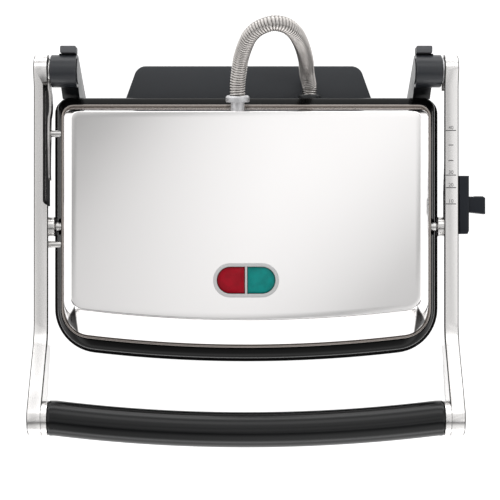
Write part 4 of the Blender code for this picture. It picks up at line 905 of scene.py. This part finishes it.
class PRESS_OT_posts(bpy.types.Operator):
    """Dark necks with the grey hinge barrels, rear feet and axle ends"""
    bl_idname = "press.posts"
    bl_label = "Hinge posts"

    def execute(self, context):
        for name, side in (("left", -1), ("right", 1)):
            self.post(name, side)
        return {"FINISHED"}

    def post(self, name, side):
        low = BASE_Z + 6.0
        heights = [low, 22.0, 30.0, 38.0, 46.0, 49.0, 52.0, 56.6, RIM_Z]
        front = [(RIM_PLAN.rear - housing_inset(z) + 0.3, z) for z in heights]
        head = arc(HINGE_Y, HINGE_Z, BARREL_RADIUS - 0.6, math.radians(205), math.radians(14), 24)
        pad = [(HINGE_Y + 13.6, HINGE_Z + 6.0), (HINGE_Y + 13.6, HINGE_Z - 7.4), (HINGE_Y + 12.6, HINGE_Z - 9.0)]
        foot = [(front[0][0] + 13.0, low + 2.0), (front[0][0] + 11.0, low)]
        neck = side_prism(front + head + pad + foot, POST_INNER, NECK_OUTER, 1.2)
        edge = sizes().barrel_round / MM
        run = BARREL_OUTER - POST_INNER
        barrel = turned(curved_profile([(4.3, 2.0), (4.3, 0.0), (8.0, 0.0), (8.0, 0.4), (BARREL_RADIUS, 0.4),
                                        (BARREL_RADIUS, run), (4.3, run), (4.3, run - 4.0)], edge * 0.6, 5),
                        (POST_INNER - 0.4, HINGE_Y, HINGE_Z), (1, 0, 0), 72)
        flank = turned(pin_profile(10.6, 0.7, 0.35), (POST_INNER - 0.9, HINGE_Y, HINGE_Z), (1, 0, 0), 64)
        pieces = (("hinge_neck_", neck, "neck", ["hinge_post_" + name]),
                  ("hinge_barrel_", merged(barrel, flank), "post", []))
        for prefix, form, finish_name, nodes in pieces:
            if side < 0:
                mirrored(form)
            piece(prefix + name, form, MATERIALS[finish_name], "base", nodes, "post_plastic")
        near = HINGE_Y + 14.3
        heel = block((POST_INNER + 0.8, near, HINGE_Z - 8.0), (NECK_OUTER - 0.8, near + 6.0, HINGE_Z + 6.0), 1.0)
        if side < 0:
            mirrored(heel)
        piece("rear_foot_" + name, heel, MATERIALS["grey_rubber"], "base", ["storage_foot_" + name], "grey_rubber")
        head = ARM_OUTER - 0.5
        axle = turned(curved_profile([(1.6, head - 1.8), (2.6, head - 1.8), (2.6, head), (6.2, head),
                                      (6.9, head - 0.4), (6.9, head - 1.3), (4.0, head - 1.3), (4.0, 145.0),
                                      (1.0, 145.0)], 0.3),
                      (0, HINGE_Y, HINGE_Z), (1, 0, 0), 48)
        if side < 0:
            mirrored(axle)
        piece("axle_" + name, axle, MATERIALS["bright_steel"], "base", ["hinge_axle_" + name], "bright_steel")


class PRESS_OT_cord_tab(bpy.types.Operator):
    """Slate tab on its hub, the cord's bush and the conduit's collar"""
    bl_idname = "press.cord_tab"
    bl_label = "Cord tab"

    def execute(self, context):
        high, low = 28.5, 24.0
        front = RIM_PLAN.rear - housing_inset(high) + 0.3
        lean = math.atan2(156.8 - front, 107.4 - 97.7)
        corner = arc(87.7, 146.8, 10.0, QUARTER - lean, QUARTER, 12)
        right = [(107.4, front)] + corner
        outline = [(TAB_X + x, y) for x, y in right + [(-x, y) for x, y in reversed(right)]]
        tab = flat_prism(outline, low, high, sizes().tab_round / MM, 4)
        hub_front = RIM_PLAN.rear - housing_inset(17.0) + 0.4
        hub_half = 70.0
        hub_outline = [(hub_half, hub_front), (hub_half, hub_front + 8.0)]
        hub_outline += arc(hub_half - 6.0, hub_front + 8.0, 6.0, 0, QUARTER, 8)
        hub_outline += [(-x, y) for x, y in reversed(hub_outline)]
        hub = flat_prism([(TAB_X + x, y) for x, y in hub_outline], 10.0, 25.0, 0.6)
        piece("cord_tab", merged(tab, hub), MATERIALS["tab"], "base", ["cord_wrap"], "post_plastic")
        refined("cord_gland", "cord_bush", MATERIALS["neck"], "base", 0.4)
        mouth = RIM_PLAN.rear - housing_inset(SOCKET_Z + 9.5) + 0.3
        collar = curved_profile([(4.4, -9.0), (8.2, -9.0), (8.2, 0.0), (9.5, 0.0), (9.5, 3.0), (8.8, 4.0),
                                 (6.8, 4.0), (6.8, -2.0), (4.4, -2.0)], 0.4)
        piece("conduit_collar", turned(collar, (SOCKET_X, mouth, SOCKET_Z), (0, 1, 0), 48, closed=True),
              MATERIALS["neck"], "base", ["conduit_socket"], "post_plastic")
        return {"FINISHED"}


# Arms

def arm_line():
    """Centre line (y, z) and half heights of an arm's side view, with a soft kink."""
    run = KINK_Y - HANDLE_Y
    rise = HANDLE_Z - HINGE_Z
    bend = bent((KINK_Y + 12.0, HINGE_Z), (KINK_Y, HINGE_Z), (KINK_Y - 12.0, HINGE_Z + 12.0 * rise / run), 10)
    path = [(HINGE_Y, HINGE_Z), (HINGE_Y - ARM_HUB, HINGE_Z)] + bend
    path += [(HANDLE_Y + 16.0, HANDLE_Z - 16.0 * rise / run), (HANDLE_Y, HANDLE_Z)]
    halves = [ARM_HUB, ARM_HALF] + [ARM_HALF] * len(bend) + [12.5, GRIP_RADIUS]
    return path, halves


class PRESS_OT_arms(bpy.types.Operator):
    """Left and right arm, with the lever's recess, the slider's slot and the marks"""
    bl_idname = "press.arms"
    bl_label = "Arms"

    def execute(self, context):
        self.arm("arm_bar_left", -1, ["left_arm"])
        self.arm("arm_bar_right", 1, ["right_arm"])
        # A thin dark sheet on the floor of the left arm's recess, which darkens the recess.
        dark_sheet = block((-ARM_INNER - 4.1, 36.0, HINGE_Z - 6.9), (-ARM_INNER - 0.6, 136.0, HINGE_Z - 6.3), 0.2)
        piece("recess_dark_sheet", dark_sheet, MATERIALS["neck"], "arms", slot="arm_metal")
        self.marks(context)
        return {"FINISHED"}

    def arm(self, name, side, nodes):
        bm = side_prism(bar_outline(*arm_line()), ARM_INNER, ARM_OUTER)
        for vert in bm.verts:
            forward = min(max((KINK_Y - vert.co.y) / (KINK_Y - HANDLE_Y), 0), 1)
            vert.co.x -= ARM_DRAW_IN * forward
        rims = [edge for edge in bm.edges if abs(edge.verts[0].co.x - edge.verts[1].co.x) < 2]
        bevel_edges(bm, rims, sizes().arm_round / MM, 4)
        stub = turned(curved_profile([(9.0, 0), (13.7, 0), (13.7, 6.0), (9.0, 6.0)], 0.5),
                      (ARM_INNER - 5.3, HANDLE_Y, HANDLE_Z), (1, 0, 0), 64)
        far = ARM_OUTER + 4
        tools = [turned([(7.1, ARM_OUTER - 2.2), (7.1, far)], (0, HINGE_Y, HINGE_Z), (1, 0, 0), 48),
                 turned([(4.1, ARM_INNER - 4), (4.1, far)], (0, HINGE_Y, HINGE_Z), (1, 0, 0), 32),
                 turned([(3.4, ARM_INNER - 4), (3.4, ARM_INNER + 8)], (0, PIVOT_Y, HINGE_Z), (1, 0, 0), 32)]
        if side < 0:
            recess = [(ARM_INNER - 4, 34.4), (ARM_INNER - 4, 136.6), (ARM_INNER + 4.2, 136.6)]
            recess += arc(ARM_INNER - 0.3, 40.9, 4.5, 0, -QUARTER, 8)
            tools.append(flat_prism(recess, HINGE_Z - 6.9, HINGE_Z + 30))
            tools.append(block((ARM_INNER - 4, 131.0, HINGE_Z - 9.1), (ARM_INNER + 4.2, HINGE_Y + 10.0, HINGE_Z + 9.1)))
            tilt = [(PIVOT_Y - 14.5 * math.cos(a), HINGE_Z - 14.5 * math.sin(a)) for a in (0, 0.105, 0.21)]
            tools.append(side_prism(bar_outline(tilt, [3.3] * 3), ARM_INNER - 2, ARM_INNER + 4.3))
        else:
            slot = bar_outline([(99.0, HINGE_Z), (33.0, HINGE_Z)], [2.6, 2.6])
            tools.append(side_prism(slot, ARM_INNER + 4, far))
            channel = bar_outline([(HINGE_Y, HINGE_Z), (33.0, HINGE_Z)], [6.2, 6.2])
            tools.append(side_prism(channel, ARM_INNER - 2, ARM_INNER + 5.4))
            tools.append(turned([(11.1, ARM_INNER - 2), (11.1, ARM_INNER + 5.4)], (0, HINGE_Y, HINGE_Z), (1, 0, 0), 48))
        lean = [(ARM_INNER - 1, HINGE_Z + 14.3), (ARM_INNER - 1, HINGE_Z - 12), (ARM_INNER + 2.85, HINGE_Z - 12)]
        tools.append(prism([Vector((x, -78.0, z)) for x, z in lean], Vector((0, 209.0, 0))))
        if side < 0:
            for form in [bm, stub] + tools:
                mirrored(form)
        for form in [stub] + tools:
            bmesh.ops.recalc_face_normals(form, faces=form.faces)
        made = make_object(name, bm)
        carved(made, [stub], "UNION")
        carved(made, tools)
        settle(made, MATERIALS["arm_metal"], "arms", nodes, 30)

    def marks(self, context):
        """Plain ticks and numbers on the right arm's upper face."""
        top = HINGE_Z + ARM_HALF
        middle = ARM_INNER + 5.3
        places = (97.0, 85.2, 72.6, 60.8, 50.6, 37.4)
        reaches = (4.2, 2.0, 2.0, 4.2, 4.2, 4.2)
        forms = [flat_prism([(middle - reach, y - 0.35), (middle + reach, y - 0.35), (middle + reach, y + 0.35),
                             (middle - reach, y + 0.35)], top - 0.02, top + 0.04) for y, reach in zip(places, reaches)]
        piece("arm_ticks", merged(*forms), MATERIALS["ink"], "arms", slot="arm_metal")
        height = sizes().mark_height
        meshes = []
        for number, y in zip(("40", "30", "20", "10"), (97.0, 60.8, 50.6, 37.4)):
            letter = bpy.data.curves.new("number", "FONT")
            letter.body = number
            letter.size = height
            letter.align_x = "CENTER"
            letter.extrude = 0.03 * MM
            carrier = bpy.data.objects.new("number", letter)
            context.scene.collection.objects.link(carrier)
            bpy.context.view_layer.update()
            mesh = bpy.data.meshes.new_from_object(carrier.evaluated_get(bpy.context.evaluated_depsgraph_get()))
            bpy.data.objects.remove(carrier)
            meshes.append((mesh, y))
        bm = bmesh.new()
        for mesh, y in meshes:
            place = Vector((middle, y + 0.9, top + 0.02)) * MM
            known = set(bm.verts)
            bm.from_mesh(mesh)
            bmesh.ops.translate(bm, vec=place, verts=[vert for vert in bm.verts if vert not in known])
            bpy.data.meshes.remove(mesh)
        bmesh.ops.scale(bm, vec=(1 / MM, 1 / MM, 1 / MM), verts=bm.verts)
        piece("arm_numbers", bm, MATERIALS["ink"], "arms", slot="arm_metal")


def handle_points(reach, steps=48):
    """Centre line of the bowed handle, with straight ends."""
    half = GRIP_END - GRIP_STRAIGHT
    sweep = (half ** 2 + HANDLE_BOW ** 2) / (2 * HANDLE_BOW)
    spread = math.asin(half / sweep)
    bow = arc(0, HANDLE_Y - HANDLE_BOW + sweep, sweep, -QUARTER - spread, -QUARTER + spread, steps)
    points = [(-reach, HANDLE_Y), (-reach + 0.3, HANDLE_Y), (-reach + 1.0, HANDLE_Y), (-reach + 2.4, HANDLE_Y)]
    points += bow
    points += [(reach - 2.4, HANDLE_Y), (reach - 1.0, HANDLE_Y), (reach - 0.3, HANDLE_Y), (reach, HANDLE_Y)]
    return [Vector((x, y, HANDLE_Z)) for x, y in points]


class PRESS_OT_handle(bpy.types.Operator):
    """Bowed satin black grip between the arms"""
    bl_idname = "press.handle"
    bl_label = "Handle"

    def execute(self, context):
        line = handle_points(GRIP_END)
        last = len(line) - 1
        ends = {0: 12.9, 1: 13.5, 2: GRIP_RADIUS, last: 12.9, last - 1: 13.5, last - 2: GRIP_RADIUS}
        levels = round_levels(line, lambda i, angle: ends.get(i, GRIP_RADIUS), 64)
        piece("grip", lofted(levels), MATERIALS["grip"], "arms", ["handle_grip"], "grip_plastic")
        dress("handle_rod", MATERIALS["bright_steel"])
        return {"FINISHED"}


class PRESS_OT_pivots(bpy.types.Operator):
    """Round bosses, pivot pins, stop pin and lever pin"""
    bl_idname = "press.pivots"
    bl_label = "Pivots"

    def execute(self, context):
        for name, side in (("left", -1), ("right", 1)):
            boss = turned(curved_profile([(3.5, 155.6), (6.8, 155.6), (7.9, 156.3), (7.9, 162.6), (3.5, 162.6)], 0.5),
                          (0, PIVOT_Y, HINGE_Z), (1, 0, 0), 64, closed=True)
            pin = turned(curved_profile([(1.2, 148.3), (3.2, 148.3), (3.2, 152.4), (3.4, 152.6), (3.4, 155.2),
                                         (3.2, 155.4), (3.2, 168.2), (1.2, 168.2)], 0.3),
                         (0, PIVOT_Y, HINGE_Z), (1, 0, 0), 40)
            if side < 0:
                mirrored(boss)
                mirrored(pin)
            piece("boss_" + name, boss, MATERIALS["bright_steel"], "arms", ["pivot_boss_" + name], "bright_steel")
            piece("pin_" + name, pin, MATERIALS["bright_steel"], "lid", ["pivot_pin_" + name], "bright_steel")
        for name, node, y, radius, reach in (("pin_stop", "tilt_stop_pin", STOP_PIN_Y, 2.7, 164.8),
                                             ("pin_lever", "lever_pin", LEVER_PIN_Y, 2.8, 162.2)):
            pin = turned(pin_profile(radius, reach - 148.3), (-148.3, y, HINGE_Z), (-1, 0, 0), 36)
            piece(name, pin, MATERIALS["bright_steel"], "lid", [node], "bright_steel")
        return {"FINISHED"}


class PRESS_OT_lever(bpy.types.Operator):
    """Tilt lever: a pressed strip with a joggle, a slot and a hooked tip"""
    bl_idname = "press.lever"
    bl_label = "Tilt lever"

    def execute(self, context):
        stations = [(139.0, 0.0, 5.4, 0.0), (132.0, 0.0, 5.8, 0.0), (127.0, -0.8, 5.9, 0.0), (119.0, -1.2, 6.2, 0.0),
                    (113.0, -1.0, 6.2, 0.0), (107.0, 0.0, 6.2, 0.0), (99.0, 0.2, 6.2, 0.0), (89.0, 0.2, 6.0, 0.0),
                    (81.0, 0.2, 4.6, 0.0), (71.0, 0.2, 3.4, 0.0), (63.0, 0.2, 3.0, -0.3), (59.3, 0.2, 2.8, -1.2),
                    (57.5, 0.2, 2.4, -2.6), (57.0, 0.2, 1.9, -3.8)]
        levels = []
        for y, shift, half, drop in stations:
            near = -LEVER_PLANE - shift
            far = near - 2.0
            z = HINGE_Z + drop
            levels.append([Vector(p) for p in ((near, y, z - half + 0.5), (near, y, z + half - 0.5),
                                               (near - 0.5, y, z + half), (far + 0.5, y, z + half),
                                               (far, y, z + half - 0.5), (far, y, z - half + 0.5),
                                               (far + 0.5, y, z - half), (near - 0.5, y, z - half))])
        made = make_object("tilt_strip", lofted(levels))
        slot = bar_outline([(LEVER_PIN_Y + 0.6, HINGE_Z), (LEVER_PIN_Y - 4.0, HINGE_Z)], [3.6, 3.6])
        hub = turned(curved_profile([(4.3, LEVER_PLANE + 0.1), (8.8, LEVER_PLANE + 0.1),
                                     (8.8, LEVER_PLANE + 3.0), (4.3, LEVER_PLANE + 3.0)], 0.4),
                     (0, HINGE_Y, HINGE_Z), (-1, 0, 0), 56, closed=True)
        carved(made, [side_prism(slot, -167, -157)])
        carved(made, [hub], "UNION")
        settle(made, MATERIALS["lever_steel"], "lever", ["tilt_lever"], 30)
        return {"FINISHED"}


class PRESS_OT_slider(bpy.types.Operator):
    """Height slider with its knob on the right arm, and the bar behind it"""
    bl_idname = "press.slider"
    bl_label = "Height slider"

    def execute(self, context):
        near = ARM_OUTER + 0.6
        far = near + 8.0
        plate = [(near, 13.0), (far - 1.2, 13.0), (far, 15.6), (far, 60.4), (near, 60.4)]
        body = flat_prism(plate, HINGE_Z - 8.5, HINGE_Z + 8.5, 1.1, 3)
        knob_outline = [(far - 2, 31.0), (far + 13.6, 29.2), (far + 13.6, 42.4), (far + 12.0, 43.6), (far - 2, 43.6)]
        knob = flat_prism(knob_outline, HINGE_Z - 6.5, HINGE_Z + 6.5, 1.3, 4)
        grip = block((far + 4.5, 43.2, HINGE_Z - 4.6), (far + 12.0, 43.9, HINGE_Z + 4.6), 0.3)
        stem = block((ARM_INNER + 5.4, 33.3, HINGE_Z - 2.0), (near + 1, 41.3, HINGE_Z + 2.0), 0.3)
        piece("slider", merged(body, knob, grip, stem), MATERIALS["slider"], "slider", ["height_slider"],
              "slider_plastic")
        refined("height_bar", "notched_bar", MATERIALS["sheet_steel"], "slider", 0.2)
        refined("height_cam", "stepped_cam", MATERIALS["sheet_steel"], "base", 0.2)
        return {"FINISHED"}


# Conduit

def nut_axis():
    return Vector((0, math.cos(NUT_TILT), math.sin(NUT_TILT)))


def conduit_points():
    """Points from inside the nut to inside the collar, straight for a tube's width at both ends."""
    start = Vector(NUT_PLACE) + nut_axis() * 3.3
    straight = 2 * CONDUIT_RADIUS
    leave = start + nut_axis() * straight
    stop = RIM_PLAN.rear - housing_inset(SOCKET_Z + 9.5) + 0.3 - 1.7
    arrive = Vector((SOCKET_X, stop + straight, SOCKET_Z))
    end = Vector((SOCKET_X, stop, SOCKET_Z))
    return [start, leave] + [Vector(point) for point in CONDUIT_ROUTE] + [arrive, end]


class PRESS_OT_conduit(bpy.types.Operator):
    """Ribbed flexible conduit in two stretches, and the nut on the lid"""
    bl_idname = "press.conduit"
    bl_label = "Conduit"

    def execute(self, context):
        pitch = sizes().rib_pitch / MM
        depth = sizes().rib_depth / MM
        steps = 7
        line = smooth_line(conduit_points(), pitch / steps)
        segments = 28

        def radius_at(i, angle):
            phase = (i / steps - angle / (4 * QUARTER)) % 1.0
            ridge = 1 - abs(2 * phase - 1) ** 2.2
            return CONDUIT_RADIUS - depth * (1 - ridge)

        rings = round_levels(line, radius_at, segments)
        crest = max(range(len(line)), key=lambda i: line[i].z)
        stretches = (("conduit_lid_half", rings[:crest + 1], line[:crest + 1], "arms", "lid", crest, 0),
                     ("conduit_base_half", rings[crest:], line[crest:], "base", "arms", len(line) - 1, crest))
        for name, levels, middle, first, second, start, end in stretches:
            made = make_object(name, lofted(levels))
            made.data.materials.append(MATERIALS["conduit_steel"])
            self.mark_valley_shade(made, levels, middle, depth)
            made.data.shade_smooth()
            made.data.set_sharp_from_angle(angle=math.radians(60))
            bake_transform(made)
            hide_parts("conduit")
        nut = curved_profile([(6.8, 3.0), (6.8, 7.4), (8.4, 7.8), (9.7, 6.4), (9.7, 2.6), (5.6, 2.6),
                              (5.6, -7.2), (4.4, -7.2), (4.4, 3.0)], 0.4)
        piece("conduit_nut_shell", turned(nut, NUT_PLACE, nut_axis(), 64, closed=True), MATERIALS["sheet_steel"],
              "lid", ["conduit_nut"], "bright_steel")
        return {"FINISHED"}

    def mark_valley_shade(self, made, levels, middle, depth):
        """Store how deep in a groove each vertex lies; the conduit's finish darkens the valleys by it, as painted
        shade.
        """
        attribute = made.data.attributes.new("groove", "FLOAT", "POINT")
        known = {}
        for level, centre in zip(levels, middle):
            for point in level:
                low = CONDUIT_RADIUS - (point - centre).length
                known[tuple(round(c, 3) for c in point)] = min(max(low / depth, 0), 1) ** 1.1 * 0.95
        for vert, entry in zip(made.data.vertices, attribute.data):
            place = (vert.co - PLACE) / MM
            entry.value = known.get(tuple(round(c, 3) for c in place), 0.3)


class PRESS_OT_inside(bpy.types.Operator):
    """Finishes of the heating and wiring pieces inside"""
    bl_idname = "press.inside"
    bl_label = "Inside pieces"

    def execute(self, context):
        for node, material in (("lower_element", "element"), ("upper_element", "element"),
                               ("lower_heat_shield", "sheet_steel"), ("upper_heat_shield", "sheet_steel"),
                               ("lower_thermostat", "white_plastic"), ("upper_thermostat", "white_plastic"),
                               ("terminal_block", "white_plastic"), ("lamp_holder", "white_plastic")):
            dress(node, MATERIALS[material])
        return {"FINISHED"}


# Stage

def area_light(name, place, target, width, depth, power, colour=(1, 1, 1)):
    data = bpy.data.lights.new(name, "AREA")
    data.shape = "RECTANGLE"
    data.size = width
    data.size_y = depth
    data.energy = power
    data.color = colour
    made = bpy.data.objects.new(name, data)
    bpy.context.scene.collection.objects.link(made)
    made.location = Vector(place)
    made.rotation_euler = (Vector(target) - Vector(place)).to_track_quat("-Z", "Y").to_euler()
    return made


def together(tree, operation, first, second):
    """Two values combined by a Math node."""
    made = node_of(tree, "ShaderNodeMath", operation=operation)
    tree.links.new(first, made.inputs[0])
    tree.links.new(second, made.inputs[1])
    return made.outputs[0]


def along(tree, place, direction):
    """How far a place lies along a direction."""
    made = node_of(tree, "ShaderNodeVectorMath", operation="DOT_PRODUCT")
    made.inputs[1].default_value = direction
    tree.links.new(place, made.inputs[0])
    return made.outputs["Value"]


def any_of(tree, first, *others):
    """The largest of several ray flags."""
    for other in others:
        first = together(tree, "MAXIMUM", first, other)
    return first


class PRESS_OT_stage(bpy.types.Operator):
    """Pale floor, soft light and the camera straight above"""
    bl_idname = "press.stage"
    bl_label = "Stage"

    def execute(self, context):
        scene = context.scene
        scene.view_settings.view_transform = "Standard"
        self.world(scene)
        self.floor()
        middle = (PLACE.x, PLACE.y, 0.08)
        area_light("rear_box", (PLACE.x, 1.0, 1.1), middle, 1.6, 0.5, 2.4)
        area_light("left_box", (-1.25, 0.15, 0.9), middle, 0.9, 0.9, 1.1)
        area_light("right_box", (1.3, -0.1, 1.0), middle, 0.9, 0.9, 1.4)
        data = bpy.data.cameras.new("view_from_above")
        data.sensor_width = 36.0
        data.lens = 99.0
        camera = bpy.data.objects.new("view_from_above", data)
        scene.collection.objects.link(camera)
        camera.location = (PLACE.x + 0.0031, PLACE.y, 1.2)
        scene.camera = camera
        return {"FINISHED"}

    def world(self, scene):
        """White for the camera; for gloss a white room with soft grey cards overhead and low boxes front and rear."""
        world = bpy.data.worlds.new("studio")
        scene.world = world
        world.use_nodes = True
        tree = world.node_tree
        tree.nodes.clear()
        output = node_of(tree, "ShaderNodeOutputWorld")
        soft = node_of(tree, "ShaderNodeBackground")
        soft.inputs["Strength"].default_value = 0.56
        white = node_of(tree, "ShaderNodeBackground")
        rays = node_of(tree, "ShaderNodeLightPath").outputs
        place = node_of(tree, "ShaderNodeTexCoord").outputs["Generated"]
        level = ranged(tree, along(tree, place, (0, 0, 1)), 1.3, 1.47, 0.25, 0.75)
        for direction, start, peak, stop, low in (((-1, 0, 0), -0.05, 0.17, 0.45, 0.6),
                                                  ((-1, 1, 0), 0.13, 0.23, 0.33, 0.42),
                                                  ((1, -1, 0), -0.01, 0.09, 0.4, 0.8),
                                                  ((1, -1, 0), 0.09, 0.17, 0.27, 0.3),
                                                  ((0, -1, 0), 0.22, 0.34, 0.75, 0.07),
                                                  ((-1, 0, 0), 0.7, 0.95, 1.6, 0.68),
                                                  ((1, 0, 0), 0.7, 0.95, 1.6, 0.68)):
            value = along(tree, place, direction)
            down = ranged(tree, value, 1.0, low, start, peak)
            back = ranged(tree, value, 0.0, 1.0 - low, peak, stop)
            level = together(tree, "MULTIPLY", level, together(tree, "ADD", down, back))
        low = ranged(tree, along(tree, place, (0, 0, 1)), 2.8, 0.0, 0.14, 0.36)
        for direction in ((0, 1, 0), (0, -1, 0)):
            band = together(tree, "MULTIPLY", low, ranged(tree, along(tree, place, direction), 0.0, 1.0, 0.55, 0.8))
            level = together(tree, "ADD", level, band)
        glossy = node_of(tree, "ShaderNodeBackground")
        tree.links.new(level, glossy.inputs["Strength"])
        first = node_of(tree, "ShaderNodeMixShader")
        tree.links.new(any_of(tree, rays["Is Glossy Ray"], rays["Is Transmission Ray"]), first.inputs[0])
        tree.links.new(soft.outputs[0], first.inputs[1])
        tree.links.new(glossy.outputs[0], first.inputs[2])
        second = node_of(tree, "ShaderNodeMixShader")
        tree.links.new(rays["Is Camera Ray"], second.inputs[0])
        tree.links.new(first.outputs[0], second.inputs[1])
        tree.links.new(white.outputs[0], second.inputs[2])
        tree.links.new(second.outputs[0], output.inputs["Surface"])

    def floor(self):
        """Pale floor that keeps the shadow; the camera and gloss see it nearly white."""
        bm = bmesh.new()
        bmesh.ops.create_grid(bm, x_segments=1, y_segments=1, size=6)
        mesh = bpy.data.meshes.new("floor")
        bm.to_mesh(mesh)
        bm.free()
        floor = bpy.data.objects.new("floor", mesh)
        bpy.context.scene.collection.objects.link(floor)
        material = bpy.data.materials.new("floor_pale")
        material.use_nodes = True
        tree = material.node_tree
        shader = tree.nodes["Principled BSDF"]
        shader.inputs["Base Color"].default_value = (0.82, 0.82, 0.82, 1)
        shader.inputs["Roughness"].default_value = 0.9
        rays = node_of(tree, "ShaderNodeLightPath").outputs
        seen = any_of(tree, rays["Is Camera Ray"], rays["Is Glossy Ray"], rays["Is Transmission Ray"])
        glow = node_of(tree, "ShaderNodeMath", operation="MULTIPLY")
        glow.inputs[1].default_value = 0.85
        tree.links.new(seen, glow.inputs[0])
        shader.inputs["Emission Color"].default_value = (1, 1, 1, 1)
        tree.links.new(glow.outputs[0], shader.inputs["Emission Strength"])
        mesh.materials.append(material)


class PRESS_OT_finishes(bpy.types.Operator):
    """Make the materials from the panel's colours"""
    bl_idname = "press.finishes"
    bl_label = "Finishes"

    def execute(self, context):
        build_materials(context.scene.press_colours)
        return {"FINISHED"}


OPERATORS = (PRESS_OT_finishes, PRESS_OT_stage, PRESS_OT_cover, PRESS_OT_lid_frame, PRESS_OT_indicator,
             PRESS_OT_plates, PRESS_OT_base, PRESS_OT_posts, PRESS_OT_cord_tab, PRESS_OT_arms, PRESS_OT_handle,
             PRESS_OT_pivots, PRESS_OT_lever, PRESS_OT_slider, PRESS_OT_conduit, PRESS_OT_inside)


class PRESS_PT_panel(bpy.types.Panel):
    """Sizes, colours and pieces of the sandwich maker"""
    bl_idname = "PRESS_PT_panel"
    bl_label = "Sandwich maker"
    bl_space_type = "VIEW_3D"
    bl_region_type = "UI"
    bl_category = "Press"

    def draw(self, context):
        for settings in (context.scene.press_sizes, context.scene.press_colours):
            column = self.layout.column()
            for key in settings.__annotations__:
                column.prop(settings, key)
        for operator in OPERATORS:
            self.layout.operator(operator.bl_idname)


CLASSES = (PressSizes, PressColours) + OPERATORS + (PRESS_PT_panel,)


def register():
    for item in CLASSES:
        bpy.utils.register_class(item)
    bpy.types.Scene.press_sizes = bpy.props.PointerProperty(type=PressSizes)
    bpy.types.Scene.press_colours = bpy.props.PointerProperty(type=PressColours)


def unregister():
    del bpy.types.Scene.press_sizes
    del bpy.types.Scene.press_colours
    for item in reversed(CLASSES):
        bpy.utils.unregister_class(item)


def main():
    register()
    for operator in OPERATORS:
        group, name = operator.bl_idname.split(".")
        getattr(getattr(bpy.ops, group), name)()


if __name__ == "__main__":
    main()
